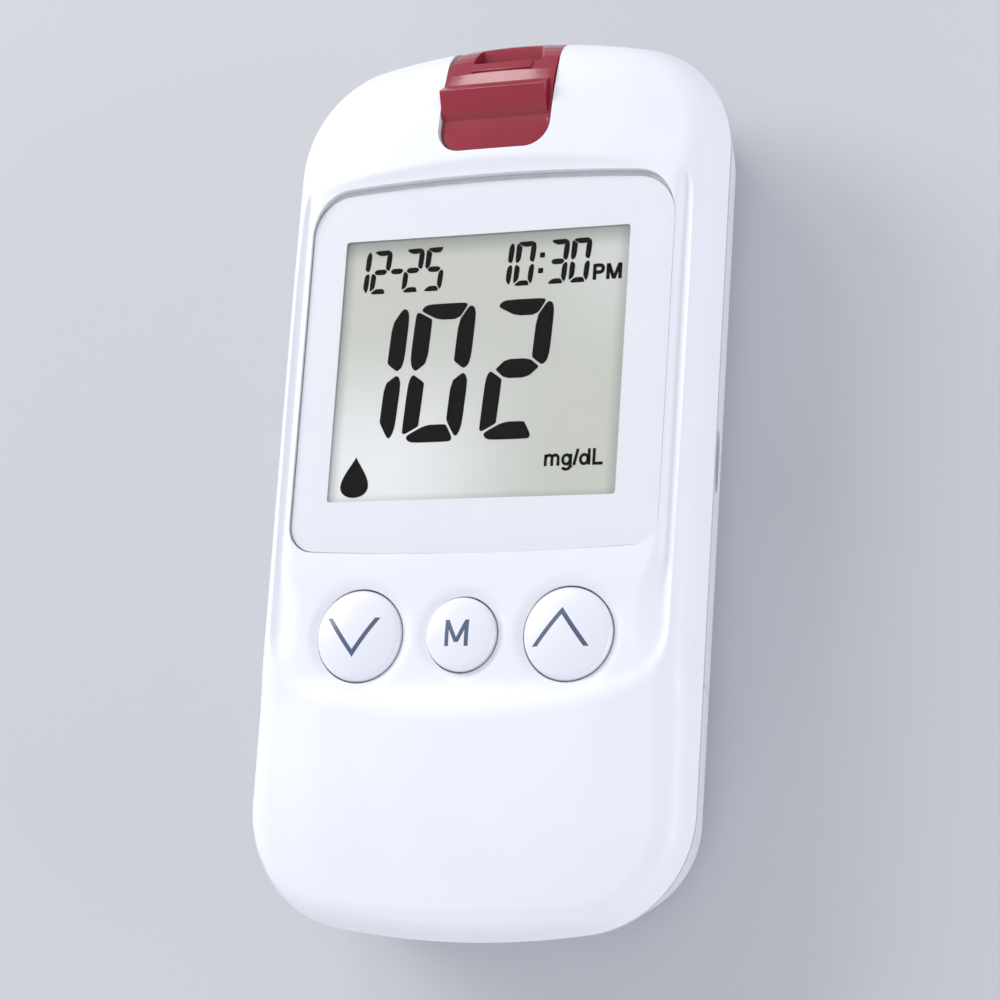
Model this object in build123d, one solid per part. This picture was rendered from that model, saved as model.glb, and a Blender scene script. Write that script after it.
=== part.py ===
from build123d import *
import math
import os

os.makedirs("parts", exist_ok=True)

# Hand-held blood glucose meter, lying on its back with the display facing up.
# Millimetres. +X is the user's right, +Y points to the test-strip end and +Z
# comes out of the display. The origin is at the middle of the flat back.

# ---------------------------------------------------------------- casing form
body_length = 95.5
body_width = 48.9
top_end_sag = 4.3
bottom_end_sag = 3.45
top_corner_radius = 12.2
bottom_corner_radius = 12.4
parting_z = 11.8
parting_gap = 0.12
front_draft = 15.0
front_edge_radius = 4.0
rear_draft = 16.3
rear_edge_radius = 5.0
wall = 1.5

# The top surface: its crown across the width, and points along the middle
# line, each given by its height and its distance from the nearer end.
crown_radius = 160.0
bottom_end_z = 15.2
heel_inset = 8.0
heel_z = 17.35
pillow_inset = 20.5
pillow_z = 18.3
middle_z = 18.8
brow_inset = 13.5
brow_z = 18.2
nose_inset = 5.0
nose_z = 16.9
top_end_z = 15.0
end_overrun = 1.0
side_overrun = 6.0

# Lip on the rear housing that locates the front housing.
lip_height = 1.0
lip_thickness = 0.7
lip_gap = 0.1

# --------------------------------------------------- basin round the display
basin_side_inset = 2.6
basin_top_inset = 17.2
basin_bottom_inset = 25.0
basin_top_radius = 2.0
basin_bottom_radius = 4.6
basin_top_sag = 0.7
basin_bottom_sag = 1.1
basin_slope = 50.0
valley_z = 16.2
floor_crown_radius = 800.0
display_floor_z = 17.45
display_floor_lap = 0.9
key_floor_z = 17.0
key_floor_lap = 2.1
key_floor_tilt = 0.02
island_side_inset = 3.6
island_slope = 47.0
floor_wall = 1.2

# -------------------------------------------------------------------- display
lens_side_inset = 3.95
lens_top_lap = 0.65
lens_key_distance = 8.45
lens_top_sag = 0.95
lens_bottom_sag = 0.65
lens_top_radius = 4.4
lens_bottom_radius = 2.9
lens_thickness = 0.7
lens_gap = 0.1
border_thickness = 0.15
window_side_margin = 4.37
window_top_margin = 5.75
window_bottom_margin = 5.8
window_x = -0.44
lcd_margin = 1.6
lcd_thickness = 1.7
lcd_gap = 0.2
holder_wall = 0.8
holder_gap = 0.1
opening_gap = 0.15
zebra_height = 1.2
zebra_width = 1.8

# ----------------------------------------------------------------------- keys
key_inset = 30.55
side_key_x = 11.55
side_key_diameter = 9.5
mode_key_diameter = 7.6
key_gap = 0.18
key_proud = 0.75
key_edge_height = 0.1
key_edge_radius = 0.35
key_flange_width = 0.8
key_flange_thickness = 0.6
key_ceiling_gap = 0.05
dish_depth = 0.3
dish_width = 0.9
bell_diameter = 6.4
bell_top_diameter = 3.2
bell_wall = 0.35
bell_gap = 0.02
keypad_thickness = 0.35
keypad_margin = 3.2
keypad_hole_gap = 0.15

# ----------------------------------------------------- strip port and ejector
ejector_width = 12.5
ejector_gap = 0.15
ejector_start_inset = 13.3
ejector_corner_radius = 2.6
ejector_travel = 4.0
tongue_start_z = 17.65
tongue_end_z = 16.95
tongue_end_inset = 9.55
facet_top_inset = 8.85
facet_top_z = 17.55
ridge_top_inset = 6.65
ridge_top_z = 18.55
saddle_inset = 5.8
saddle_z = 17.35
shoulder_inset = 2.6
shoulder_z = 16.2
cheek_inset = 1.2
cheek_z = 14.8
lip_end_z = 12.0
ejector_bed_z = 16.0
ejector_bed_wall = 1.0
bed_overrun = 2.0
bed_bend_inset = 4.15
bed_foot_inset = 2.4
bed_drop_z = 13.2
bed_end_wall = 1.3
bed_rim = 1.4
ridge_edge_radius = 0.25
ridge_end_margin = 0.5
notch_width = 6.9
notch_start_inset = 3.25
strip_width = 6.0
strip_thickness = 0.5
strip_z = 14.3
strip_clearance = 0.3
hook_x = 5.0
hook_width = 0.8
hook_length = 1.6
hook_inset = 10.75
hook_foot = 0.6
hook_foot_height = 0.5
hook_clearance = 0.12
pusher_width = 1.6
pusher_length = 1.2
pusher_inset = 11.35
spring_diameter = 1.0
spring_wire = 0.16
spring_turns = 8
connector_width = 8.0
connector_height = 1.2
connector_start_inset = 16.75
connector_end_inset = 4.2
contact_count = 4
contact_pitch = 1.5
contact_width = 0.6
contact_thickness = 0.15
contact_length = 7.0

# ---------------------------------------------------------------------- board
board_thickness = 0.8
board_inset = 3.4
board_bottom_inset = 21.9
board_top_inset = 4.15
board_gap = 0.2
chip_size = 9.0
chip_thickness = 1.2
chip_x = 8.0
chip_rise = 10.7
crystal_length = 8.0
crystal_diameter = 3.0
crystal_x = 6.0
crystal_rise = 20.7
capacitor_length = 1.6
capacitor_width = 0.8
capacitor_height = 0.8
capacitor_pitch = 3.0
capacitor_rows = 2
capacitor_columns = 4
capacitor_x = -9.0
capacitor_rise = 22.7
buzzer_diameter = 12.0
buzzer_height = 4.0
buzzer_port_diameter = 2.0
buzzer_x = -9.0
buzzer_rise = 11.7
sound_hole_diameter = 1.2
sound_hole_pitch = 2.6

# ------------------------------------------------------------------ data jack
jack_y = 1.9
jack_bore_radius = 1.3
jack_back_wall = 1.5
jack_bore_drop = 3.3
jack_width = 5.4
jack_height = 5.4
jack_bay_gap = 0.7
jack_wall_gap = 0.15
port_length = 6.4
port_height = 4.4
port_corner_radius = 1.9
port_top_margin = 0.25

# ------------------------------------------------------------- battery and door
cell_diameter = 10.3
cell_length = 43.6
cell_edge_radius = 0.3
cell_nub_diameter = 3.6
cell_nub_length = 0.9
cell_pitch = 11.0
cell_gap = 0.15
cell_inset = 9.0
bay_wall = 1.0
bay_roof = 0.6
bay_side_gap = 0.25
contact_room = 2.6
contact_gap = 0.02
plate_room = 0.7
plate_thickness = 0.3
plate_width = 7.4
plate_height = 3.5
battery_wire = 0.6
battery_spring_diameter = 6.6
battery_spring_turns = 3
door_side_inset = 26.15
door_tongue_width = 27.0
door_tongue_cover = 3.3
door_tongue_sag = 3.0
door_root_radius = 1.0
door_gap = 0.15
door_latch_width = 6.0
door_latch_length = 1.8
door_latch_thickness = 1.0
grip_grooves = 5
grip_pitch = 1.8
grip_width = 12.0
grip_depth = 0.4
grip_inset = 23.6
skirt_wall = 0.8
seam_overlap = 2.0

# ---------------------------------------------------------------------- screws
top_screw_side_inset = 10.0
top_screw_inset = 13.45
bottom_screw_side_inset = 8.4
bottom_screw_inset = 14.4
boss_diameter = 4.6
screw_diameter = 2.0
screw_clearance = 0.1
screw_head_diameter = 3.6
screw_head_height = 1.3
screw_seat_z = 7.0
rear_boss_diameter = 5.8
screw_head_clearance = 0.25
screw_bite = 2.4
cross_reach_share = 0.6
cross_width_share = 0.14
board_screw_side_inset = 5.5
board_screw_rise = 7.25
board_boss_diameter = 3.4
board_screw_diameter = 1.4
board_screw_head_diameter = 2.6
board_screw_head_height = 0.8
board_screw_bite = 1.6

# ------------------------------------------------- derived heights and depths
half_width = body_width / 2
half_length = body_length / 2
cell_radius = cell_diameter / 2
cell_z = wall + cell_gap + cell_radius
bay_roof_z = cell_z + cell_radius + cell_gap
board_z = bay_roof_z + bay_roof + board_gap
board_top_z = board_z + board_thickness
lcd_z = board_top_z + zebra_height
lens_z = lcd_z + lcd_thickness + lcd_gap
key_ceiling_z = key_floor_z - floor_wall
far = 2 * body_length
over = 1.0

# ----------------------------------------------- derived places along the width
basin_half_width = half_width - basin_side_inset
island_half_width = half_width - island_side_inset
lens_half_width = half_width - lens_side_inset
window_width = 2 * (lens_half_width - window_side_margin)
bay_half_width = cell_pitch / 2 + cell_radius + bay_side_gap
jack_start_x = bay_half_width + bay_wall + jack_bay_gap
top_screw_x = half_width - top_screw_side_inset
bottom_screw_x = half_width - bottom_screw_side_inset
board_screw_x = half_width - board_screw_side_inset

# ---------------------------------------- derived places from the strip end down
cheek_y = half_length - cheek_inset
shoulder_y = half_length - shoulder_inset
notch_start_y = half_length - notch_start_inset
board_top_y = half_length - board_top_inset
connector_end_y = half_length - connector_end_inset
bed_bend_y = half_length - bed_bend_inset
bed_foot_y = half_length - bed_foot_inset
saddle_y = half_length - saddle_inset
ridge_top_y = half_length - ridge_top_inset
nose_y = half_length - nose_inset
facet_top_y = half_length - facet_top_inset
tongue_end_y = half_length - tongue_end_inset
hook_y = half_length - hook_inset
pusher_y = half_length - pusher_inset
ejector_start_y = half_length - ejector_start_inset
top_screw_y = half_length - top_screw_inset
brow_y = half_length - brow_inset
connector_start_y = half_length - connector_start_inset
basin_top_y = half_length - basin_top_inset
lens_top_y = basin_top_y + lens_top_lap

# ----------------------------------------- derived places from the lower end up
heel_y = heel_inset - half_length
cell_bottom_y = cell_inset - half_length
bay_bottom_y = cell_bottom_y - contact_room
cell_top_y = cell_bottom_y + cell_length + cell_nub_length
bay_top_y = cell_top_y + plate_room
bottom_screw_y = bottom_screw_inset - half_length
pillow_y = pillow_inset - half_length
board_bottom_y = board_bottom_inset - half_length
door_side_y = door_side_inset - half_length
door_tongue_y = bay_top_y + door_tongue_cover
grip_y = door_tongue_y - grip_inset
basin_bottom_y = basin_bottom_inset - half_length
key_y = key_inset - half_length
board_screw_y = key_y + board_screw_rise
lens_bottom_y = key_y + lens_key_distance
key_floor_y = lens_bottom_y - key_floor_lap
display_floor_y = lens_bottom_y + display_floor_lap
chip_y = bay_top_y + chip_rise
buzzer_y = bay_top_y + buzzer_rise
crystal_y = bay_top_y + crystal_rise
capacitor_y = bay_top_y + capacitor_rise

# ----------------------------------------------------------- derived window size
window_top_y = lens_top_y - window_top_margin
window_bottom_y = lens_bottom_y + window_bottom_margin
window_height = window_top_y - window_bottom_y
window_y = (window_top_y + window_bottom_y) / 2
lcd_width = window_width + 2 * lcd_margin
lcd_height = window_height + 2 * lcd_margin


def box(x0, x1, y0, y1, z0, z1):
    """A box between two corners."""
    centre = ((x0 + x1) / 2, (y0 + y1) / 2, (z0 + z1) / 2)
    return Pos(*centre) * Box(x1 - x0, y1 - y0, z1 - z0)


def rod(x, y, z0, z1, diameter):
    """A vertical cylinder from z0 to z1."""
    return Pos(x, y, (z0 + z1) / 2) * Cylinder(diameter / 2, z1 - z0)


def arched_face(inset, half_w, y0, y1, sag0, sag1, corner0, corner1):
    """A rectangle whose two ends arch outwards and whose corners are round,
    drawn in all round by an inset."""
    w = half_w - inset
    ends = []
    for sag in (sag0, sag1):
        arch_radius = (half_w**2 + sag**2) / (2 * sag) - inset
        ends.append(arch_radius - math.sqrt(arch_radius**2 - w**2))
    low, high = y0 + inset, y1 - inset
    side0, side1 = low + ends[0], high - ends[1]
    right = Line((w, side0), (w, side1))
    top = ThreePointArc((w, side1), (0, high), (-w, side1))
    left = Line((-w, side1), (-w, side0))
    bottom = ThreePointArc((-w, side0), (0, low), (w, side0))
    face = make_face([right, top, left, bottom])
    face = fillet(face.vertices().sort_by(Axis.Y)[:2], corner0 - inset)
    return fillet(face.vertices().sort_by(Axis.Y)[-2:], corner1 - inset)


def leaning(outline, inset, z0, z1, draft):
    """The solid between an outline's inset at z0 and its inset at z1, where
    its sides have leant in at the draft angle."""
    lean = abs(z1 - z0) * math.tan(math.radians(draft))
    foot = Pos(0, 0, z0) * outline(inset)
    return loft([foot, Pos(0, 0, z1) * outline(inset + lean)], ruled=True)


def casing_face(inset):
    """The casing's outline at the parting plane, drawn in by a distance."""
    return arched_face(
        inset,
        half_width,
        -half_length,
        half_length,
        bottom_end_sag,
        top_end_sag,
        bottom_corner_radius,
        top_corner_radius,
    )


def under_surface(points, radius):
    """The solid under a surface that follows points (y, z) along the middle
    line and is crowned to a radius across the width."""
    first, last = points[0], points[-1]
    top = Spline(*points)
    sides = Polyline(last, (last[0], 0), (first[0], 0), first)
    face = Plane.YZ * make_face([top, sides])
    peak = max(z for y, z in points)
    axis = Axis((0, 0, peak - radius), (0, 1, 0))
    reach = half_width + side_overrun
    sweep_angle = 2 * math.degrees(math.asin(reach / (radius - peak)))
    start = face.rotate(axis, -sweep_angle / 2)
    return revolve(start, axis, sweep_angle)


def crown_solid(drop):
    """Everything under the top surface, lowered by a distance."""
    points = [
        (-half_length - end_overrun, bottom_end_z - drop),
        (heel_y, heel_z - drop),
        (pillow_y, pillow_z - drop),
        (0, middle_z - drop),
        (brow_y, brow_z - drop),
        (nose_y, nose_z - drop),
        (half_length + end_overrun, top_end_z - drop),
    ]
    return under_surface(points, crown_radius - drop)


def front_form(inset):
    """The front housing's pillow, or the room inside it at an inset."""
    prism = leaning(casing_face, inset, parting_z, middle_z + over, front_draft)
    form = prism & crown_solid(inset)
    top = form.edges().filter_by(lambda e: e.center().Z > parting_z + over)
    return fillet(top, front_edge_radius - inset)


def rear_form(inset):
    """The rear half's boat shape, or the room inside it at an inset."""
    side = inset / math.cos(math.radians(rear_draft))
    form = leaning(casing_face, side, parting_z, inset, rear_draft)
    bottom = form.faces().sort_by(Axis.Z)[0].edges()
    return fillet(bottom, rear_edge_radius - inset)


def floor_drop(x):
    """How far the basin floor's crown falls at a distance from the middle."""
    return floor_crown_radius - math.sqrt(floor_crown_radius**2 - x**2)


def basin_outline(inset):
    """The basin's outline where its floor meets its side walls."""
    return arched_face(
        inset,
        basin_half_width,
        basin_bottom_y,
        basin_top_y,
        basin_bottom_sag,
        basin_top_sag,
        basin_bottom_radius,
        basin_top_radius,
    )


def basin_cutter():
    """The hollow round the display and keys, down to its crowned floor."""
    hollow = leaning(basin_outline, 0, valley_z, middle_z + over, -basin_slope)
    points = [
        (-half_length, key_floor_z),
        (2 * key_y - key_floor_y, key_floor_z),
        (key_floor_y, key_floor_z + key_floor_tilt),
        (display_floor_y, display_floor_z),
        (0, display_floor_z),
        (half_length, display_floor_z),
    ]
    floor = under_surface(points, floor_crown_radius)
    rise = display_floor_z - floor_drop(island_half_width) - valley_z
    foot = island_half_width + math.tan(math.radians(island_slope)) * rise
    plan = Pos(0, 0, valley_z) * Rectangle(2 * foot, far)
    island = extrude(plan, -over) + extrude(plan, rise + over, taper=island_slope)
    return hollow - (floor & island)


def lens_outline(inset):
    return arched_face(
        inset,
        lens_half_width,
        lens_bottom_y,
        lens_top_y,
        lens_bottom_sag,
        lens_top_sag,
        lens_bottom_radius,
        lens_top_radius,
    )


def side_profile(points, width):
    """A solid of constant section across the width, from points (y, z)."""
    face = Plane.YZ * make_face(Polyline(*points, close=True))
    return extrude(face, width / 2, both=True)


def ejector_plan(gap):
    """The ejector's plan, open towards the strip end."""
    w = ejector_width / 2 + gap
    y0 = ejector_start_y - gap
    face = make_face(Polyline((-w, y0), (w, y0), (w, far), (-w, far), close=True))
    return fillet(face.vertices().sort_by(Axis.Y)[:2], ejector_corner_radius + gap)


def ejector_bed(gap):
    """The path (y, z) of the bed that the ejector slides on, and of its lip."""
    end_y = half_length - bed_end_wall + gap
    return [
        (ejector_start_y - bed_overrun, ejector_bed_z + gap),
        (bed_bend_y + gap / 2, ejector_bed_z + gap),
        (bed_foot_y + gap / 2, bed_drop_z + gap),
        (end_y, bed_drop_z + gap),
        (end_y, lip_end_z),
    ]


def ejector_recess():
    path = ejector_bed(0)
    end_y = path[-1][0]
    above = [(end_y, parting_z - over), (far, parting_z - over), (far, far)]
    space = side_profile(path + above + [(path[0][0], far)], far)
    return space & extrude(ejector_plan(ejector_gap), far)


def strip_path():
    """Lowest and highest z of the way that a test strip takes through the end."""
    half_thick = (strip_thickness + strip_clearance) / 2
    return strip_z - half_thick, strip_z + half_thick


def slot(x, y, width, length, z0, z1):
    """A slot for a foot that rests at y and then moves by the ejector's travel."""
    c = hook_clearance
    y1 = y + length / 2 + ejector_travel + c
    return box(x - width / 2 - c, x + width / 2 + c, y - length / 2 - c, y1, z0, z1)


def front_housing():
    room = front_form(wall)
    grow = floor_wall / math.cos(math.radians(basin_slope))
    shrink = math.tan(math.radians(basin_slope)) * (valley_z - key_ceiling_z)
    plug = leaning(
        basin_outline, shrink - grow, key_ceiling_z, middle_z + over, -basin_slope
    )
    bed_half = ejector_width / 2 + bed_rim
    bed_y0 = ejector_start_y - bed_rim
    bed_under = ejector_bed_z - ejector_bed_wall
    room -= plug
    room -= box(-bed_half, bed_half, bed_y0, far, bed_under, far)
    room -= box(-bed_half, bed_half, connector_end_y + board_gap, far, 0, far)
    for x, y, z, bite, boss, core in front_bosses():
        room -= rod(x, y, z, far, boss)
    body = front_form(0) - room
    for x, y, z, bite, boss, core in front_bosses():
        body -= rod(x, y, 0, z, boss + 2 * board_gap)
        body -= rod(x, y, z - over, z + bite, core)
    body -= basin_cutter()
    body -= extrude(Pos(0, 0, lens_z - border_thickness) * lens_outline(-lens_gap), far)
    body -= Pos(window_x, window_y, lens_z) * Box(
        lcd_width + 2 * opening_gap, lcd_height + 2 * opening_gap, far
    )
    for x, diameter in key_places():
        hole = diameter / 2 + key_gap
        edge_z = key_floor_z - floor_drop(x)
        body -= rod(x, key_y, board_top_z, far, 2 * hole)
        body -= Pos(x, key_y, edge_z) * Cone(hole, hole + 2 * dish_width, 2 * dish_depth)
    body -= ejector_recess()
    for side in (-1, 1):
        body -= slot(side * hook_x, hook_y, hook_width, hook_length, 0, ejector_bed_z + over)
    body -= slot(0, pusher_y, pusher_width, pusher_length, 0, ejector_bed_z + over)
    half_strip = strip_width / 2 + strip_clearance
    z0, z1 = strip_path()
    body -= box(-half_strip, half_strip, connector_end_y, far, z0, z1)
    return body


def key_places():
    """x and diameter of each key."""
    side = side_key_diameter
    return [(-side_key_x, side), (0, mode_key_diameter), (side_key_x, side)]


def casing_screws():
    """x, y and the height where the front boss ends, for each casing screw."""
    bay_top = bay_roof_z + bay_roof
    places = []
    for side in (-1, 1):
        places.append((side * top_screw_x, top_screw_y, board_top_z))
        places.append((side * bottom_screw_x, bottom_screw_y, bay_top))
    return places


def board_screw_places():
    return [(side * board_screw_x, board_screw_y) for side in (-1, 1)]


def front_bosses():
    """x, y, foot height, bite, boss and core diameter of each front boss."""
    bosses = []
    for x, y, z in casing_screws():
        bosses.append((x, y, z, screw_bite, boss_diameter, screw_diameter))
    for x, y in board_screw_places():
        bosses.append(
            (x, y, board_top_z, board_screw_bite, board_boss_diameter, board_screw_diameter)
        )
    return bosses


# ------------------------------------------------------------------- display
def display_lens():
    return extrude(Pos(0, 0, lens_z) * lens_outline(0), lens_thickness)


def lens_border():
    """The printed adhesive border under the lens, open over the display."""
    ring = extrude(Pos(0, 0, lens_z - border_thickness) * lens_outline(0), border_thickness)
    return ring - Pos(window_x, window_y, lens_z) * Box(window_width, window_height, over)


def lcd_glass():
    z = lcd_z + lcd_thickness / 2
    return Pos(window_x, window_y, z) * Box(lcd_width, lcd_height, lcd_thickness)


def lcd_holder():
    """The frame on the board that carries the glass by its edges."""
    inner_w, inner_h = lcd_width + 2 * holder_gap, lcd_height + 2 * holder_gap
    height = key_ceiling_z - lcd_gap - board_top_z
    z = board_top_z + height / 2
    frame = Pos(window_x, window_y, z) * Box(
        inner_w + 2 * holder_wall, inner_h + 2 * holder_wall, height
    )
    frame -= Pos(window_x, window_y, lcd_z + far) * Box(inner_w, inner_h, 2 * far)
    ledge = 2 * holder_wall
    return frame - Pos(window_x, window_y, z) * Box(
        lcd_width - ledge, lcd_height - ledge, height
    )


def zebra_strip():
    """The rubber connector between the glass and the board, at the lower edge."""
    y0 = window_y - lcd_height / 2 + holder_wall + holder_gap
    half = lcd_width / 2 - holder_wall - holder_gap
    x0, x1 = window_x - half, window_x + half
    return box(x0, x1, y0, y0 + zebra_width, board_top_z, lcd_z)


# ---------------------------------------------------------------------- keys
def key_levels():
    """Top and bottom of a key's flange."""
    top = key_ceiling_z - key_ceiling_gap
    return top, top - key_flange_thickness


def key_cap(x, diameter):
    radius = diameter / 2
    flange_top, flange_bottom = key_levels()
    edge_z = key_floor_z - floor_drop(x) + key_edge_height
    apex_z = edge_z - key_edge_height + key_proud
    crown = (radius**2 + (apex_z - edge_z) ** 2) / (2 * (apex_z - edge_z))
    cap = rod(0, 0, flange_bottom, apex_z, diameter)
    cap &= Pos(0, 0, apex_z - crown) * Sphere(crown)
    rims = cap.edges().filter_by(lambda e: e.is_closed and e.length > 2 * diameter)
    cap = fillet(rims.sort_by(Axis.Z)[-1:], key_edge_radius)
    cap += rod(0, 0, flange_bottom, flange_top, diameter + 2 * key_flange_width)
    return Pos(x, key_y, 0) * cap


def key_bell(x):
    """One collapsing dome of the silicone keypad, standing on the board."""
    top_z = key_levels()[1] - bell_gap
    height = top_z - board_top_z
    top_radius = bell_top_diameter / 2
    outer = Cone(bell_diameter / 2, top_radius, height)
    inner_height = height - bell_wall
    inner = Cone(bell_diameter / 2 - bell_wall, top_radius - bell_wall / 2, inner_height)
    bell = outer - Pos(0, 0, -bell_wall / 2) * inner
    return Pos(x, key_y, board_top_z + height / 2) * bell


def keypad_mat():
    """The silicone sheet round the domes."""
    reach = side_key_x + bell_diameter / 2 + keypad_margin
    half = bell_diameter / 2 + keypad_margin / 2
    mat = box(
        -reach, reach, key_y - half, key_y + half,
        board_top_z, board_top_z + keypad_thickness,
    )
    mat = fillet(mat.edges().filter_by(Axis.Z), keypad_margin / 2)
    for x, diameter in key_places():
        mat -= rod(x, key_y, 0, far, bell_diameter + 2 * keypad_hole_gap)
    return mat


# --------------------------------------------------- strip port and ejector
def ejector_slide():
    """The coloured slide: thumb ridge, tongue, cheeks either side of the strip
    notch, two snap hooks and the finger that pushes the strip out."""
    top = [
        (half_length - ejector_gap, lip_end_z),
        (cheek_y, cheek_z),
        (shoulder_y, shoulder_z),
        (saddle_y, saddle_z),
        (ridge_top_y, ridge_top_z),
        (facet_top_y, facet_top_z),
        (tongue_end_y, tongue_end_z),
        (ejector_start_y - bed_overrun, tongue_start_z),
    ]
    slide = side_profile(ejector_bed(hook_clearance) + top, far)
    slide &= extrude(ejector_plan(0), far)
    slide &= extrude(casing_face(ejector_gap), far)
    crest = slide.edges().filter_by(Axis.X).sort_by(Axis.Z)[-1:]
    slide = fillet(crest, ridge_edge_radius)
    rim = [(tongue_end_y, tongue_end_z), (saddle_y, saddle_z), (saddle_y, far), (tongue_end_y, far)]
    beyond_ridge = Pos(ejector_width - ridge_end_margin, 0) * side_profile(rim, ejector_width)
    slide -= beyond_ridge
    half_notch = notch_width / 2
    slide -= box(-half_notch, half_notch, notch_start_y, far, strip_path()[0], far)
    under = ejector_bed_z - ejector_bed_wall - hook_clearance
    foot_z = board_top_z + hook_clearance
    for side in (-1, 1):
        x0, x1 = side * hook_x - hook_width / 2, side * hook_x + hook_width / 2
        y0, y1 = hook_y - hook_length / 2, hook_y + hook_length / 2
        slide += box(x0, x1, y0, y1, foot_z, tongue_end_z)
        reach = side * hook_foot
        f0, f1 = min(x0, x0 + reach), max(x1, x1 + reach)
        slide += box(f0, f1, y0, y1, under - hook_foot_height, under)
    half = pusher_width / 2
    y0, y1 = pusher_y - pusher_length / 2, pusher_y + pusher_length / 2
    finger_z = strip_z - strip_thickness / 2 + hook_clearance
    slide += box(-half, half, y0, y1, finger_z, tongue_end_z)
    return slide


def ejector_spring():
    """The small spring that brings the slide back, along Y beside a hook."""
    y0 = hook_y + hook_length / 2
    y1 = connector_end_y + board_gap
    z = (board_top_z + ejector_bed_z - ejector_bed_wall) / 2
    return coil(
        (hook_x, y0, z), (0, 1, 0), y1 - y0, spring_diameter, spring_wire, spring_turns
    )


def coil(start, direction, length, diameter, wire, turns):
    """A round-wire compression spring that fills a length."""
    radius = (diameter - wire) / 2
    rise = length - wire
    path = Helix(pitch=rise / turns, height=rise, radius=radius)
    section = Plane(path @ 0, z_dir=path % 0) * Circle(wire / 2)
    spring = sweep(section, path=path, is_frenet=True)
    seat = Plane(origin=start, z_dir=direction)
    return seat * Pos(0, 0, wire / 2) * spring


def connector_slot():
    half = (strip_width + strip_clearance) / 2
    floor_z = strip_z - strip_thickness / 2 - contact_thickness
    roof_z = strip_z + (strip_thickness + strip_clearance) / 2
    start = connector_start_y + strip_width / 2
    return box(-half, half, start, far, floor_z, roof_z)


def strip_connector():
    half = connector_width / 2
    y0, y1 = connector_start_y, connector_end_y
    body = box(-half, half, y0, y1, board_top_z, board_top_z + connector_height)
    body -= connector_slot()
    return body - slot(0, pusher_y, pusher_width, pusher_length, strip_z, far)


def strip_contacts():
    """Spring contacts on the floor of the strip port, as a group."""
    floor_z = strip_z - strip_thickness / 2 - contact_thickness
    y1 = connector_end_y - contact_pitch
    contacts = []
    half = contact_width / 2
    for place in range(contact_count):
        x = (place - (contact_count - 1) / 2) * contact_pitch
        contacts.append(
            box(x - half, x + half, y1 - contact_length, y1, floor_z, floor_z + contact_thickness)
        )
    return Compound(children=contacts)


# --------------------------------------------------------------------- board
def main_board():
    face = casing_face(board_inset) & Pos(0, (board_bottom_y + board_top_y) / 2) * Rectangle(
        body_width, board_top_y - board_bottom_y
    )
    board = extrude(Pos(0, 0, board_z) * face, board_thickness)
    for x, y, z in casing_screws():
        board -= rod(x, y, 0, far, screw_diameter + 2 * screw_clearance)
    for x, y in board_screw_places():
        board -= rod(x, y, 0, far, board_screw_diameter + 2 * screw_clearance)
    return board


def hung(x, y, width, length, height):
    """A box under the board."""
    return box(
        x - width / 2, x + width / 2, y - length / 2, y + length / 2, board_z - height, board_z
    )


def meter_chip():
    chip = hung(chip_x, chip_y, chip_size, chip_size, chip_thickness)
    return chamfer(chip.edges().filter_by(Axis.Z), chip_thickness / 4)


def timing_crystal():
    can = hung(crystal_x, crystal_y, crystal_length, crystal_diameter, crystal_diameter)
    return fillet(can.edges().filter_by(Axis.X), crystal_diameter / 3)


def capacitors():
    parts = []
    for row in range(capacitor_rows):
        for column in range(capacitor_columns):
            x = capacitor_x + column * capacitor_pitch
            y = capacitor_y + row * capacitor_pitch
            parts.append(hung(x, y, capacitor_length, capacitor_width, capacitor_height))
    return Compound(children=parts)


def buzzer():
    z0 = board_z - buzzer_height
    body = rod(buzzer_x, buzzer_y, z0, board_z, buzzer_diameter)
    return body - rod(buzzer_x, buzzer_y, z0, z0 + buzzer_height / 2, buzzer_port_diameter)


def jack_end_x():
    """Where the jack stops, just inside the leaning side wall."""
    lean = math.tan(math.radians(rear_draft)) * (parting_z - board_z + jack_height)
    return half_width - lean - wall / math.cos(math.radians(rear_draft)) - jack_wall_gap


def data_jack():
    """Stereo jack for a data lead; its bore faces out of the right side."""
    end_x = jack_end_x()
    y0, y1 = jack_y - jack_width / 2, jack_y + jack_width / 2
    body = box(jack_start_x, end_x, y0, y1, board_z - jack_height, board_z)
    z = board_z - jack_bore_drop
    bore_length = end_x - jack_start_x - jack_back_wall
    bore = Cylinder(jack_bore_radius, bore_length).rotate(Axis.Y, 90)
    return body - Pos(end_x - bore_length / 2, jack_y, z) * bore


# -------------------------------------------------------------- rear housing
def inner_room(inset):
    """The rear half's inside, carried up past the parting plane."""
    side = inset / math.cos(math.radians(rear_draft))
    top_z = parting_z + bay_roof + over
    return rear_form(inset) + leaning(casing_face, side, parting_z, top_z, front_draft)


def door_zone(gap):
    """Where the door lies: the foot of the rear half and a tongue in its back."""
    foot = box(-far, far, -far, door_side_y + gap, -over, parting_z)
    tongue = arched_face(
        -gap,
        door_tongue_width / 2,
        -half_length,
        door_tongue_y,
        bottom_end_sag,
        door_tongue_sag,
        door_root_radius,
        door_tongue_sag,
    )
    return foot + extrude(Pos(0, 0, -over) * tongue, wall + over)


def latch(gap):
    half = door_latch_width / 2 + gap
    z0 = wall - door_latch_thickness - gap
    y1 = door_tongue_y + door_latch_length + gap
    return box(-half, half, door_tongue_y - seam_overlap, y1, z0, wall + gap)


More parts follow.
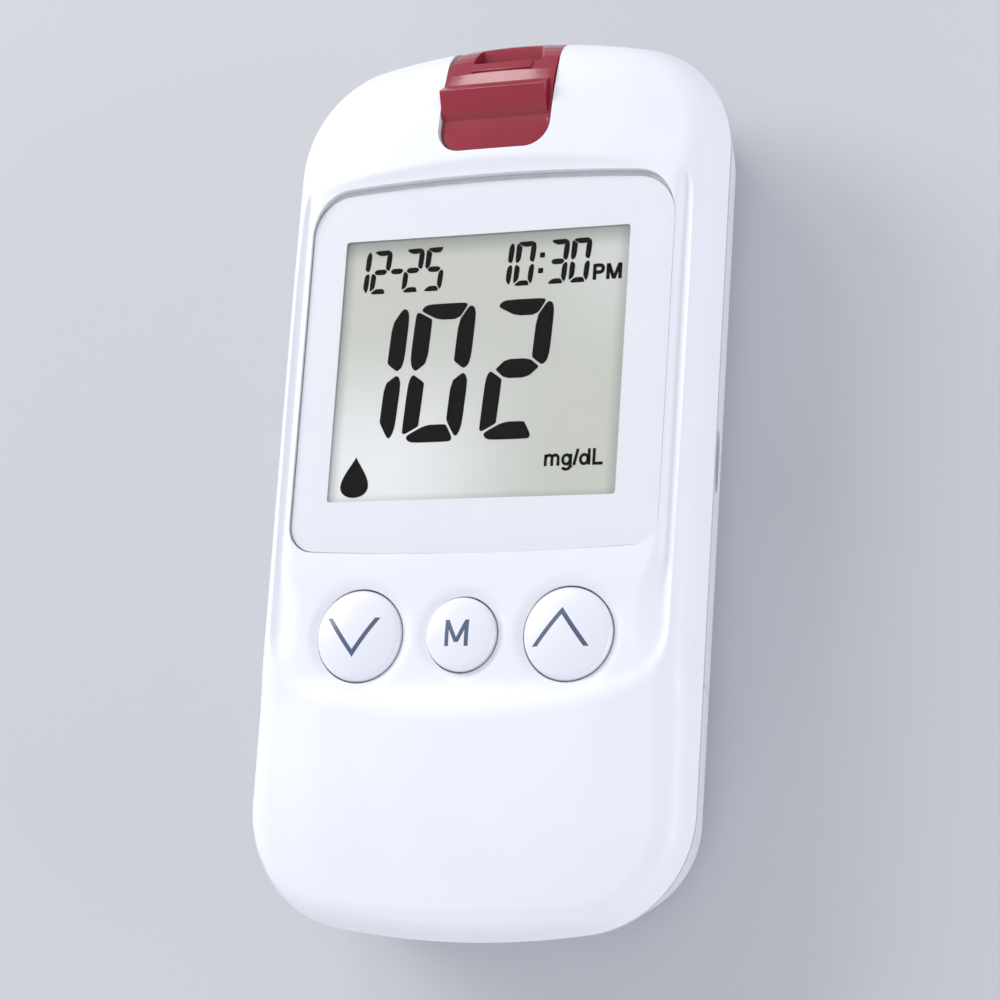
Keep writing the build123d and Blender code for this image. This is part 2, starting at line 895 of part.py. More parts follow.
def rear_frame():
    """What lies over the battery door: a skirt inside its side walls, a deck
    above its tongue and the strip that joins them to the shell."""
    under_door = wall + door_gap
    inside = under_door + skirt_wall
    seam_y = door_side_y + seam_overlap
    skirt = rear_form(under_door) - rear_form(inside)
    skirt &= box(-far, far, -far, seam_y, -over, far)
    strip = rear_form(wall / 2) - rear_form(inside)
    strip &= box(-far, far, door_side_y + door_gap, seam_y, -over, far)
    strip -= door_zone(door_gap)
    half = door_tongue_width / 2 + seam_overlap
    deck = box(-half, half, door_side_y, door_tongue_y + seam_overlap, under_door, inside)
    return skirt + strip + deck


def bay_space(grow, z0, z1):
    """The room for the two cells and their contacts, grown by a wall."""
    half = bay_half_width + grow
    return box(-half, half, bay_bottom_y - grow, bay_top_y + grow, z0, z1)


def rear_housing():
    under_door = wall + door_gap
    inside = under_door + skirt_wall
    body = rear_form(0) - rear_form(wall)
    body &= box(-far, far, -far, far, -over, parting_z - parting_gap)
    body -= door_zone(door_gap)
    body += rear_frame() + lip_ring()
    body -= latch(door_gap)
    body += bay_space(bay_wall, under_door, bay_roof_z + bay_roof) & inner_room(under_door)
    for x, y, z in casing_screws():
        post = rod(x, y, 0, min(z, board_z), rear_boss_diameter)
        body += post & inner_room(wall / 2 if y > 0 else under_door)
    body -= bay_space(0, -over, bay_roof_z) & inner_room(under_door + skirt_wall / 2)
    body -= bay_space(0, -over, wall + inside)
    for x, y, z in casing_screws():
        body -= rod(x, y, -over, screw_seat_z, screw_head_diameter + 2 * screw_head_clearance)
        body -= rod(x, y, 0, far, screw_diameter + 2 * screw_clearance)
    body -= port_opening()
    for place in (-1, 0, 1):
        x = buzzer_x + place * sound_hole_pitch
        body -= rod(x, buzzer_y, -over, wall + over, sound_hole_diameter)
    return body


def lip_ring():
    """The lip that locates the front housing, and the band that carries it."""
    outer = wall + lip_gap
    inner = outer + lip_thickness
    top_z = parting_z + lip_height
    lip = leaning(casing_face, outer, parting_z, top_z, front_draft)
    lip -= leaning(casing_face, inner, parting_z, top_z, front_draft)
    port_half = ejector_width / 2 + bed_rim + board_gap
    lip -= box(-port_half, port_half, connector_start_y, far, parting_z, far)
    band = rear_form(wall / 2) & box(-far, far, door_side_y + door_gap, far, 0, far)
    band += rear_form(wall + door_gap)
    band &= box(-far, far, -far, far, parting_z - 2 * lip_height, parting_z)
    band -= extrude(Pos(0, 0, parting_z) * casing_face(inner), -2 * lip_height)
    return lip + band


def port_opening():
    """The rounded opening in the right side in front of the data jack."""
    z1 = parting_z - port_top_margin
    x0 = jack_end_x() + jack_wall_gap / 2
    y0, y1 = jack_y - port_length / 2, jack_y + port_length / 2
    opening = box(x0, far, y0, y1, z1 - port_height, z1)
    return fillet(opening.edges().filter_by(Axis.X), port_corner_radius)


def battery_door():
    door = (rear_form(0) - rear_form(wall)) & door_zone(0)
    door &= box(-far, far, -far, far, -over, parting_z - parting_gap)
    door += latch(0)
    for groove in range(grip_grooves):
        y = grip_y - groove * grip_pitch
        door -= Pos(0, y, 0) * Box(grip_width, grip_pitch / 2, 2 * grip_depth)
    return door


# ---------------------------------------------------------- battery contacts
def lying_rod(x, z, y0, y1, diameter):
    rod_y = Cylinder(diameter / 2, y1 - y0).rotate(Axis.X, 90)
    return Pos(x, (y0 + y1) / 2, z) * rod_y


def battery_cell(side):
    """One AAA cell; the left one has its nub up and the right one down."""
    x = side * cell_pitch / 2
    if side < 0:
        body_y0, nub_y0 = cell_bottom_y, cell_bottom_y + cell_length
    else:
        body_y0, nub_y0 = cell_bottom_y + cell_nub_length, cell_bottom_y
    body = lying_rod(x, cell_z, body_y0, body_y0 + cell_length, cell_diameter)
    body = fillet(body.edges(), cell_edge_radius)
    return body + lying_rod(x, cell_z, nub_y0, nub_y0 + cell_nub_length, cell_nub_diameter)


def contact_plate(x, y0, y1):
    half = plate_width / 2
    z0 = cell_z - plate_height / 2
    return box(x - half, x + half, y0, y1, z0, z0 + plate_height)


def battery_bridge_contact():
    """Joins the two cells at the bottom: a coil on the left, a pad on the right."""
    y0 = bay_bottom_y
    y1 = y0 + plate_thickness
    end_y = cell_bottom_y - contact_gap
    x = cell_pitch / 2
    plate = contact_plate(-x, y0, y1) + contact_plate(x, y0, y1)
    link_half = plate_height / 4
    plate += box(-x, x, y0, y1, cell_z - link_half, cell_z + link_half)
    plate += lying_rod(x, cell_z, y1, end_y, cell_nub_diameter)
    spring = coil(
        (-x, y1, cell_z), (0, 1, 0), end_y - y1,
        battery_spring_diameter, battery_wire, battery_spring_turns,
    )
    return Compound(children=[plate, spring])


def battery_top_contact(side):
    """A plate with a raised pad at the top end of one cell."""
    x = side * cell_pitch / 2
    plate = contact_plate(x, bay_top_y - plate_thickness, bay_top_y)
    return plate + lying_rod(x, cell_z, cell_top_y + contact_gap, bay_top_y, cell_nub_diameter)


# -------------------------------------------------------------------- screws
def screw(x, y, seat_z, tip_z, diameter, head_diameter, head_height):
    """A pan-head screw driven from the back, with a cross recess."""
    head = rod(x, y, seat_z - head_height, seat_z, head_diameter)
    head = fillet(head.edges().sort_by(Axis.Z)[:1], head_height / 3)
    shank = rod(x, y, seat_z, tip_z, diameter)
    body = head + shank
    reach = head_diameter * cross_reach_share
    width = head_diameter * cross_width_share
    for turn in (0, 90):
        arm = Box(reach, width, head_height).rotate(Axis.Z, turn)
        body -= Pos(x, y, seat_z - head_height) * arm
    return body


def housing_screws():
    screws = []
    for x, y, z in casing_screws():
        screws.append(
            screw(
                x, y, screw_seat_z, z + screw_bite - screw_clearance,
                screw_diameter, screw_head_diameter, screw_head_height,
            )
        )
    return Compound(children=screws)


def board_screws():
    screws = []
    for x, y in board_screw_places():
        screws.append(
            screw(
                x, y, board_z, board_top_z + board_screw_bite - screw_clearance,
                board_screw_diameter, board_screw_head_diameter, board_screw_head_height,
            )
        )
    return Compound(children=screws)


nodes = {
    "front_housing": front_housing(),
    "display_lens": display_lens(),
    "lens_border": lens_border(),
    "lcd_glass": lcd_glass(),
    "lcd_holder": lcd_holder(),
    "zebra_strip": zebra_strip(),
    "keypad_mat": keypad_mat(),
    "ejector_slide": ejector_slide(),
    "ejector_spring": ejector_spring(),
    "strip_connector": strip_connector(),
    "strip_contacts": strip_contacts(),
    "main_board": main_board(),
    "meter_chip": meter_chip(),
    "timing_crystal": timing_crystal(),
    "capacitors": capacitors(),
    "buzzer": buzzer(),
    "data_jack": data_jack(),
    "rear_housing": rear_housing(),
    "battery_door": battery_door(),
    "battery_cell_left": battery_cell(-1),
    "battery_cell_right": battery_cell(1),
    "battery_bridge_contact": battery_bridge_contact(),
    "battery_positive_contact": battery_top_contact(-1),
    "battery_negative_contact": battery_top_contact(1),
    "housing_screws": housing_screws(),
    "board_screws": board_screws(),
}
for name, (x, diameter) in zip(("down", "mode", "up"), key_places()):
    nodes["key_" + name] = key_cap(x, diameter)
    nodes["key_bell_" + name] = key_bell(x)

for name, shape in nodes.items():
    export_step(shape, f"parts/{name}.step")
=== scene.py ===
import bpy
import bmesh
import math
import numpy as np
from mathutils import Matrix, Vector


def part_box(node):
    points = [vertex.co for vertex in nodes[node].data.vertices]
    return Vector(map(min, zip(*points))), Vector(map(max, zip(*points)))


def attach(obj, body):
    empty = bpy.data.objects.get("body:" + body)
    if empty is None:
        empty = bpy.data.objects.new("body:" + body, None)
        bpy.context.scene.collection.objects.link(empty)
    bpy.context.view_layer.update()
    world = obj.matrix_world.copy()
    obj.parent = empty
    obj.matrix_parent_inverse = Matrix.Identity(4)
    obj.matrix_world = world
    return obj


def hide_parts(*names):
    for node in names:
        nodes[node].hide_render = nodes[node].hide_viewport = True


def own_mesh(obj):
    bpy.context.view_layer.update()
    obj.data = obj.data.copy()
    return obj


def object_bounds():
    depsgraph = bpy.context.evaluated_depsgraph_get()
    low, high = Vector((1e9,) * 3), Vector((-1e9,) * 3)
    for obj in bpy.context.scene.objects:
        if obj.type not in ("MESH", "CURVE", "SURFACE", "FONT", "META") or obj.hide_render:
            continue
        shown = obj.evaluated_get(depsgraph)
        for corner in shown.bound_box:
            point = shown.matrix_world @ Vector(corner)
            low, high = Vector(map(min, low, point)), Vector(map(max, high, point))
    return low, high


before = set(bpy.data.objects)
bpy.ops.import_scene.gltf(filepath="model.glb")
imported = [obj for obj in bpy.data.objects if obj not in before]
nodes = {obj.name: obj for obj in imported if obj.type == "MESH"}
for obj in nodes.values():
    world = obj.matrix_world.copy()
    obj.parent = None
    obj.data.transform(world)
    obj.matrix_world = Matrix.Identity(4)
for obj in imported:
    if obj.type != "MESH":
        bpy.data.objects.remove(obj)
cad_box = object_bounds()
scene = bpy.context.scene
MM = 0.001


# ---- materials
def new_material(name):
    """A material, its tree and shader, and its textures' coordinates: the
    piece's own, in metres, so that they travel with it."""
    material = bpy.data.materials.new(name)
    material.use_nodes = True
    tree = material.node_tree
    shader = tree.nodes["Principled BSDF"]
    coords = tree.nodes.new("ShaderNodeTexCoord")
    return material, tree, shader, coords.outputs["Object"]


def set_inputs(node, values):
    """Sets inputs of a node, each to a value or to another node's output."""
    for name, value in values.items():
        if isinstance(value, bpy.types.NodeSocket):
            node.id_data.links.new(value, node.inputs[name])
        else:
            node.inputs[name].default_value = value


def noise(tree, vector, scale, detail=3.0, rough=0.5):
    node = tree.nodes.new("ShaderNodeTexNoise")
    set_inputs(node, {"Vector": vector, "Scale": scale, "Detail": detail, "Roughness": rough})
    return node.outputs["Fac"]


def ramp(tree, value, low, high, out_low=0.0, out_high=1.0, smooth=False):
    """Maps low to high on out_low to out_high, and holds the ends."""
    node = tree.nodes.new("ShaderNodeMapRange")
    node.interpolation_type = "SMOOTHSTEP" if smooth else "LINEAR"
    set_inputs(node, {"Value": value, "From Min": low, "From Max": high,
                      "To Min": out_low, "To Max": out_high})
    return node.outputs["Result"]


def mix_colours(tree, factor, colour_a, colour_b):
    """Mixes two colours, of which each may be another node's output."""
    node = tree.nodes.new("ShaderNodeMix")
    node.data_type = "RGBA"
    a, b = ((*c, 1.0) if isinstance(c, tuple) else c for c in (colour_a, colour_b))
    set_inputs(node, {0: factor, 6: a, 7: b})
    return node.outputs[2]


def combine_values(tree, operation, first, second):
    node = tree.nodes.new("ShaderNodeMath")
    node.operation = operation
    set_inputs(node, {0: first, 1: second})
    return node.outputs[0]


def axes(tree, vector):
    node = tree.nodes.new("ShaderNodeSeparateXYZ")
    set_inputs(node, {0: vector})
    return node.outputs


def add_bump(tree, shader, heights):
    """Stacks bumps on the shader's normal: (height, strength, depth) each."""
    previous = None
    for height, strength, depth in heights:
        node = tree.nodes.new("ShaderNodeBump")
        set_inputs(node, {"Height": height, "Strength": strength, "Distance": depth})
        if previous:
            set_inputs(node, {"Normal": previous})
        previous = node.outputs["Normal"]
    set_inputs(shader, {"Normal": previous})


def plastic(name, colour, shade, roughness, coat=0.0, coat_roughness=0.05,
            ripple_depth=0.00001):
    """Moulded plastic: faint mottling, a fine grain and a slow ripple."""
    material, tree, shader, vector = new_material(name)
    slow = noise(tree, vector, 120.0, 4.0)
    fine = noise(tree, vector, 9000.0, 2.0)
    smudge = noise(tree, vector, 420.0, 5.0, 0.6)
    tint = ramp(tree, slow, 0.3, 0.7, smooth=True)
    set_inputs(shader, {
        "Base Color": mix_colours(tree, tint, colour, shade),
        "Roughness": ramp(tree, smudge, 0.25, 0.75, roughness * 0.85, roughness * 1.2),
        "Coat Weight": coat, "Coat Roughness": coat_roughness,
    })
    add_bump(tree, shader, [(slow, 0.4, ripple_depth), (fine, 0.5, 0.000004)])
    return material


def metal(name, colour, roughness, streak):
    """Drawn or plated metal with fine streaks along one direction."""
    material, tree, shader, vector = new_material(name)
    mapping = tree.nodes.new("ShaderNodeMapping")
    set_inputs(mapping, {"Vector": vector, "Scale": streak})
    lines = noise(tree, mapping.outputs["Vector"], 3000.0)
    stain = noise(tree, vector, 300.0, 4.0)
    dark = tuple(channel * 0.72 for channel in colour)
    tint = ramp(tree, stain, 0.35, 0.7, smooth=True)
    set_inputs(shader, {
        "Base Color": mix_colours(tree, tint, colour, dark),
        "Roughness": ramp(tree, lines, 0.3, 0.7, roughness * 0.8, roughness * 1.4),
        "Metallic": 1.0,
    })
    add_bump(tree, shader, [(lines, 0.5, 0.000003)])
    return material


HEAD_ON_GLOSS = 0.009
GLOSS_POWER = 5.0


def clear_plastic(name, tint, roughness):
    """Clear acrylic: what lies under it shows through, with a gloss on top
    that grows from HEAD_ON_GLOSS to all of the light at a grazing angle."""
    material, tree, shader, vector = new_material(name)
    tree.nodes.remove(shader)
    see = tree.nodes.new("ShaderNodeBsdfTransparent")
    set_inputs(see, {"Color": (*tint, 1.0)})
    gloss = tree.nodes.new("ShaderNodeBsdfGlossy")
    smear = noise(tree, vector, 260.0, 5.0, 0.6)
    set_inputs(gloss, {"Roughness": ramp(tree, smear, 0.3, 0.8, roughness, roughness * 3.0)})
    edge = tree.nodes.new("ShaderNodeLayerWeight")
    set_inputs(edge, {"Blend": 0.5})
    steep = combine_values(tree, "POWER", edge.outputs["Facing"], GLOSS_POWER)
    both = tree.nodes.new("ShaderNodeMixShader")
    set_inputs(both, {"Fac": ramp(tree, steep, 0.0, 1.0, HEAD_ON_GLOSS),
                      1: see.outputs["BSDF"], 2: gloss.outputs["BSDF"]})
    set_inputs(tree.nodes["Material Output"], {"Surface": both.outputs["Shader"]})
    return material


casing_white = plastic("casing_white", (0.86, 0.875, 0.925), (0.845, 0.86, 0.915), 0.42,
                       coat=0.10, coat_roughness=0.2)
rear_white = plastic("rear_white", (0.84, 0.855, 0.91), (0.825, 0.84, 0.90), 0.42,
                     coat=0.08, coat_roughness=0.2)
key_white = plastic("key_white", (0.84, 0.845, 0.91), (0.83, 0.835, 0.90), 0.34,
                    coat=0.2, coat_roughness=0.12, ripple_depth=0.000002)
crimson = plastic("crimson", (0.32, 0.012, 0.032), (0.29, 0.010, 0.028), 0.20,
                  coat=0.25, coat_roughness=0.06)
border_print = plastic("border_print", (0.90, 0.915, 0.955), (0.89, 0.905, 0.95), 0.4)
silicone = plastic("silicone", (0.62, 0.63, 0.66), (0.58, 0.59, 0.62), 0.6)
holder_grey = plastic("holder_grey", (0.35, 0.35, 0.37), (0.31, 0.31, 0.33), 0.5)
dark_rubber = plastic("dark_rubber", (0.05, 0.05, 0.055), (0.03, 0.03, 0.03), 0.7)
black_plastic = plastic("black_plastic", (0.03, 0.026, 0.026), (0.02, 0.018, 0.018), 0.45)
board_green = plastic("board_green", (0.02, 0.13, 0.06), (0.015, 0.10, 0.045), 0.35, coat=0.5)
ceramic = plastic("ceramic", (0.40, 0.29, 0.18), (0.33, 0.23, 0.14), 0.5)
slate_ink = plastic("slate_ink", (0.075, 0.115, 0.20), (0.065, 0.10, 0.18), 0.35, coat=0.3)
lcd_ink = plastic("lcd_ink", (0.004, 0.003, 0.003), (0.003, 0.002, 0.002), 0.5)
set_inputs(lcd_ink.node_tree.nodes["Principled BSDF"], {"Specular IOR Level": 0.05})
steel = metal("steel", (0.62, 0.62, 0.64), 0.28, streak=(1.0, 8.0, 1.0))
gold = metal("gold", (0.85, 0.62, 0.25), 0.22, streak=(8.0, 1.0, 1.0))
lens_clear = clear_plastic("lens_clear", (0.985, 0.99, 0.99), 0.02)


DISPLAY_FILM = (0.65, 0.655, 0.575)
DISPLAY_GLOW = (0.92, 0.91, 0.90)
DISPLAY_SHADE = (0.07, 0.075, 0.07)
# Where the light pools on the film: from x, to x, from y, to y (mm) and share.
DISPLAY_POOLS = ((9.0, -10.0, 17.0, 1.0, 1.0), (5.0, 14.0, 9.0, 22.0, 0.3))


def display_material(window):
    """Grey-green liquid crystal, shaded along the window's edges, and brighter
    where the light pools."""
    x0, x1, y0, y1 = window
    material, tree, shader, vector = new_material("display_grey")
    x, y, _ = axes(tree, vector)
    shade = ramp(tree, y, y1, y1 - 2.6 * MM, 0.52, smooth=True)
    for value, edge, inner, dark in (
        (x, x0, x0 + 1.5 * MM, 0.62),
        (x, x1, x1 - 1.6 * MM, 0.70),
        (y, y0, y0 + 0.9 * MM, 0.80),
    ):
        side = ramp(tree, value, edge, inner, dark, smooth=True)
        shade = combine_values(tree, "MULTIPLY", shade, side)
    film = DISPLAY_FILM
    for from_x, to_x, from_y, to_y, share in DISPLAY_POOLS:
        glow_x = ramp(tree, x, from_x * MM, to_x * MM, 0.0, share, True)
        glow_y = ramp(tree, y, from_y * MM, to_y * MM, smooth=True)
        glow = combine_values(tree, "MULTIPLY", glow_x, glow_y)
        film = mix_colours(tree, glow, film, DISPLAY_GLOW)
    haze = noise(tree, vector, 700.0)
    set_inputs(shader, {"Base Color": mix_colours(tree, shade, DISPLAY_SHADE, film),
                        "Roughness": ramp(tree, haze, 0.3, 0.7, 0.32, 0.42)})
    add_bump(tree, shader, [(noise(tree, vector, 6000.0, 2.0), 0.3, 0.000003)])
    return material


CELL_DARK = (0.025, 0.03, 0.045)
CELL_COPPER = (0.42, 0.25, 0.05)
CELL_RING = (0.55, 0.55, 0.57)


def cell_material():
    """A printed battery jacket: two bands of colour with a bright ring at
    each end. Each border lies between two shares of the cell's length."""
    material, tree, shader, vector = new_material("cell_jacket")
    y = axes(tree, vector)[1]
    low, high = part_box("battery_cell_left")
    span = high.y - low.y
    jacket = CELL_DARK
    for start, end, colour in ((0.64, 0.645, CELL_COPPER), (0.03, 0.026, CELL_RING),
                               (0.955, 0.959, CELL_RING)):
        share = ramp(tree, y, low.y + start * span, low.y + end * span)
        jacket = mix_colours(tree, share, jacket, colour)
    scuff = noise(tree, vector, 500.0, 5.0, 0.65)
    set_inputs(shader, {"Base Color": jacket, "Metallic": 0.5, "Coat Weight": 0.5,
                        "Roughness": ramp(tree, scuff, 0.35, 0.75, 0.2, 0.5)})
    add_bump(tree, shader, [(scuff, 0.3, 0.000008)])
    return material


# ---- finishes
# The printed border hides this much of the display's glass on each side.
GLASS_MARGIN = 1.6 * MM
glass_low, glass_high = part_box("lcd_glass")
WINDOW = (glass_low.x + GLASS_MARGIN, glass_high.x - GLASS_MARGIN,
          glass_low.y + GLASS_MARGIN, glass_high.y - GLASS_MARGIN)
display_grey = display_material(WINDOW)

for finish, names in (
    (casing_white, "front_housing"),
    (rear_white, "rear_housing battery_door"),
    (lens_clear, "display_lens"),
    (border_print, "lens_border"),
    (display_grey, "lcd_glass"),
    (holder_grey, "lcd_holder"),
    (dark_rubber, "zebra_strip"),
    (silicone, "keypad_mat key_bell_down key_bell_mode key_bell_up"),
    (key_white, "key_down key_mode key_up"),
    (crimson, "ejector_slide"),
    (black_plastic, "strip_connector meter_chip buzzer data_jack"),
    (gold, "strip_contacts"),
    (board_green, "main_board"),
    (ceramic, "capacitors"),
    (cell_material(), "battery_cell_left battery_cell_right"),
    (steel, "ejector_spring timing_crystal housing_screws board_screws "
            "battery_bridge_contact battery_positive_contact battery_negative_contact"),
):
    for name in names.split():
        for slot in nodes[name].material_slots:
            slot.material = finish


# ---- mesh helpers
def link_mesh(name, bm):
    """Turns a bmesh into an object of the scene."""
    mesh = bpy.data.meshes.new(name)
    bm.to_mesh(mesh)
    bm.free()
    piece = bpy.data.objects.new(name, mesh)
    scene.collection.objects.link(piece)
    return piece


def dress(piece, material, body, node=None):
    """Gives a piece its finish and its body, and hides the node that it stands for."""
    piece.data.materials.clear()
    piece.data.materials.append(material)
    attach(piece, body)
    if node:
        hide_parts(node)
    return piece


def new_verts(bm, rows):
    """Vertices for rows of (x, y, z) points in mm."""
    return [[bm.verts.new((x * MM, y * MM, z * MM)) for x, y, z in row] for row in rows]


def bridge(bm, rows):
    """Quads between closed rows of vertices."""
    for low, high in zip(rows, rows[1:]):
        for i in range(len(low)):
            j = (i + 1) % len(low)
            bm.faces.new((low[i], low[j], high[j], high[i]))


def add_prism(bm, rows):
    """A closed solid over rows of (x, y, z) points in mm, capped at both ends."""
    verts = new_verts(bm, rows)
    bridge(bm, verts)
    bm.faces.new(verts[0][::-1])
    bm.faces.new(verts[-1])


def at_height(points, z):
    return [(p[0], p[1], z) for p in points]


def round_corners(points, share):
    """One pass of corner cutting on a closed outline."""
    out = []
    for a, b in zip(points, points[1:] + points[:1]):
        a, b = Vector(a), Vector(b)
        out += [a.lerp(b, share), a.lerp(b, 1 - share)]
    return out


def add_plate(bm, points, z, thickness):
    """A flat plate with the given outline (mm), whichever way that turns."""
    area = sum(a[0] * b[1] - b[0] * a[1] for a, b in zip(points, points[1:] + points[:1]))
    outline = points if area > 0 else points[::-1]
    add_prism(bm, [at_height(outline, z), at_height(outline, z + thickness)])


MITRE_LIMIT = 0.4


def ribbon(points, width, closed=False):
    """The left and right side of a stroke of one width along points (mm)."""
    pts = [Vector(p) for p in points]
    count = len(pts)
    left, right = [], []
    for i in range(count):
        before = pts[i] - pts[i - 1] if i or closed else pts[1] - pts[0]
        after = pts[(i + 1) % count] - pts[i] if i < count - 1 or closed else before
        before, after = before.normalized(), after.normalized()
        side = Vector((-(before.y + after.y), before.x + after.x)).normalized()
        reach = width / 2 / max(MITRE_LIMIT, side.dot(Vector((-before.y, before.x))))
        left.append(pts[i] + side * reach)
        right.append(pts[i] - side * reach)
    return left, right


def add_stroke(bm, points, width, z, thickness, closed=False):
    """A flat stroke along points: a solid with ends, or a closed ring."""
    left, right = ribbon(points, width, closed)
    top = z + thickness
    rows = [[(a.x, a.y, top), (b.x, b.y, top), (b.x, b.y, z), (a.x, a.y, z)]
            for a, b in zip(left, right)]
    if not closed:
        add_prism(bm, rows)
        return
    verts = new_verts(bm, rows)
    bridge(bm, verts + verts[:1])


def arc(centre, rx, ry, start, end, steps=10):
    """Points on an ellipse, angles in degrees."""
    points = []
    for i in range(steps + 1):
        t = math.radians(start + (end - start) * i / steps)
        points.append((centre[0] + rx * math.cos(t), centre[1] + ry * math.sin(t)))
    return points


# ---- casing outline
HALF_WIDTH = cad_box[1].x / MM
HALF_LENGTH = cad_box[1].y / MM
PARTING_Z = 11.8
# Half width, both ends, both ends' sags and both ends' corner radii.
OUTLINE = (HALF_WIDTH, -HALF_LENGTH, HALF_LENGTH, 3.45, 4.3, 12.4, 12.2)
UPPER_SAG = OUTLINE[4]


def arched_outline(half_w, y0, y1, sag0, sag1, corner0, corner1, across, along):
    """Points and outward normals, anticlockwise from the lower right corner's
    middle, of a rectangle with arched ends and round corners. The points lie at
    the shares in across along each end and at those in along up each side."""
    sides = []
    for sag, y, corner, sign in ((sag0, y0, corner0, -1), (sag1, y1, corner1, 1)):
        radius = (half_w**2 + sag**2) / (2 * sag)
        centre = y - sign * radius
        corner_y = centre + sign * math.sqrt((radius - corner)**2 - (half_w - corner)**2)
        turn = math.atan2(abs(corner_y - centre), half_w - corner)
        sides.append((radius, centre, corner_y, corner, turn, sign))
    (_, _, k0, q0, t0, _), (_, _, k1, q1, t1, _) = sides

    def corner_point(k, q, angle, side):
        return ((half_w - q + q * math.cos(angle)) * side, k + q * math.sin(angle),
                math.cos(angle) * side, math.sin(angle))

    def side_point(t):
        """Up the right side, from the lower corner's middle to the upper's."""
        low, high = q0 * t0 / 2, q1 * t1 / 2
        reach = low + (k1 - k0) + high
        s = t * reach
        if s < low:
            return corner_point(k0, q0, -t0 / 2 + s / q0, 1)
        if s > low + k1 - k0:
            return corner_point(k1, q1, (s - low - k1 + k0) / q1, 1)
        return (half_w, k0 + s - low, 1.0, 0.0)

    def end_point(t, radius, centre, k, q, turn, sign):
        """Along an end from its right corner's middle to its left one's."""
        half_turn = q * turn / 2
        spread = math.pi / 2 - turn
        reach = 2 * half_turn + 2 * radius * spread
        s = t * reach
        if s < half_turn:
            x, y, nx, ny = corner_point(k, q, turn / 2 + s / q, 1)
        elif s > reach - half_turn:
            x, y, nx, ny = corner_point(k, q, turn / 2 + (reach - s) / q, -1)
        else:
            angle = turn + (s - half_turn) / radius
            nx, ny = math.cos(angle), math.sin(angle)
            return (radius * nx, centre + sign * radius * ny, nx, sign * ny)
        return (x, y, nx, ny) if sign > 0 else (x, 2 * k - y, nx, -ny)

    out = [side_point(t) for t in along[:-1]]
    out += [end_point(t, *sides[1]) for t in across[:-1]]
    out += [(-x, y, -nx, ny) for x, y, nx, ny in map(side_point, along[:0:-1])]
    out += [end_point(t, *sides[0]) for t in across[:0:-1]]
    out = np.array(out)
    return out[:, :2], out[:, 2:]


def evenly(count):
    """The shares for this many equal steps."""
    return np.linspace(0.0, 1.0, count + 1)


# ---- casing top
# All in mm. A pair of places is where a change starts and where it ends.
CROWN_RADIUS = 160.0
# The middle line of the top: place along the casing, and height.
CROWN_LINE = np.array([
    (-HALF_LENGTH - 1.0, 15.2), (-HALF_LENGTH + 8.0, 17.35), (-HALF_LENGTH + 20.5, 18.3),
    (0.0, 18.8), (HALF_LENGTH - 13.5, 18.2), (HALF_LENGTH - 5.0, 16.9), (HALF_LENGTH + 1.0, 15.0),
])
# The shoulder's section: it leaves the parting line at the first angle from
# the vertical, turns on a wide arc to the second, and on a tight arc to flat.
SHOULDER = (8.0, 10.0, 30.0, 4.0)
SHOULDER_POINTS = (8, 60)
# The pillow falls away towards the casing's sides, and so does the brow, by a
# share of that.
SIDE_FALL = 0.11
SIDE_FALL_X = (14.0, 22.5)
PILLOW_START = (19.0, 25.0)
BROW_START = (32.0, 38.0)
BROW_SHARE = 0.6

# The basin: its floor, its walls' rise per mm (sides, lower end) and how round
# its foot and its rim are, the rim more so at the lower end.
BASIN_HALF_WIDTH = 21.65
BASIN_Y = (-22.2, 31.85)
BASIN_SAG = (1.0, 0.6)
BASIN_CORNER = (4.6, 3.0)
BASIN_WALL_SLOPE = (0.56, 0.40)
WALL_TURN = (16.0, 21.0)
FOOT_ROUND = 0.7
RIM_ROUND = (0.16, 0.3)
RIM_CHANGE = (14.0, 22.0)
DISPLAY_FLOOR_Z = 17.44
KEY_FLOOR_Z = 17.0
FLOOR_RADIUS = 800.0
FLOOR_STEP = (-15.5, -9.0)
# The island's sides fall into a valley that fades out at the lower end. Beside
# the keys the island is narrower.
VALLEY_Z = 16.2
VALLEY_FADE = 0.75
VALLEY_END = (16.5, 21.0)
ISLAND_EDGE = (20.35, 21.6)
KEY_ISLAND_EDGE = 18.5
ISLAND_CHANGE = (-13.5, -8.5)
# A shallow dish round each key.
KEY_GAP = 0.18
KEY_STEPS = 96
DISH_OVERLAP = 0.4
DISH_WIDTH = 1.15
DISH_DEPTH = 0.32

HOUSING_WALL = 1.5
FLOOR_WALL = 1.25
SEAM_HEIGHT = 0.36
SEAM_DEPTH = 0.5

# Each key's middle and the radius of its cap, without the flange round it.
FLANGE_WIDTH = 0.8
KEYS = {}
for key in ("key_down", "key_mode", "key_up"):
    key_low, key_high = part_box(key)
    KEYS[key] = ((key_low.x + key_high.x) / 2 / MM, (key_low.y + key_high.y) / 2 / MM,
                 (key_high.x - key_low.x) / 2 / MM - FLANGE_WIDTH)


def natural_spline(knots, at):
    """A natural cubic through the knots, at the given places."""
    x, y = knots[:, 0], knots[:, 1]
    h = np.diff(x)
    count = len(x)
    system = np.zeros((count, count))
    right_side = np.zeros(count)
    system[0, 0] = system[-1, -1] = 1.0
    for i in range(1, count - 1):
        system[i, i - 1:i + 2] = h[i - 1], 2 * (h[i - 1] + h[i]), h[i]
        right_side[i] = 6 * ((y[i + 1] - y[i]) / h[i] - (y[i] - y[i - 1]) / h[i - 1])
    bend = np.linalg.solve(system, right_side)
    i = np.clip(np.searchsorted(x, at) - 1, 0, count - 2)
    a, b = x[i + 1] - at, at - x[i]
    return ((bend[i] * a**3 + bend[i + 1] * b**3) / (6 * h[i])
            + (y[i] / h[i] - bend[i] * h[i] / 6) * a
            + (y[i + 1] / h[i] - bend[i + 1] * h[i] / 6) * b)


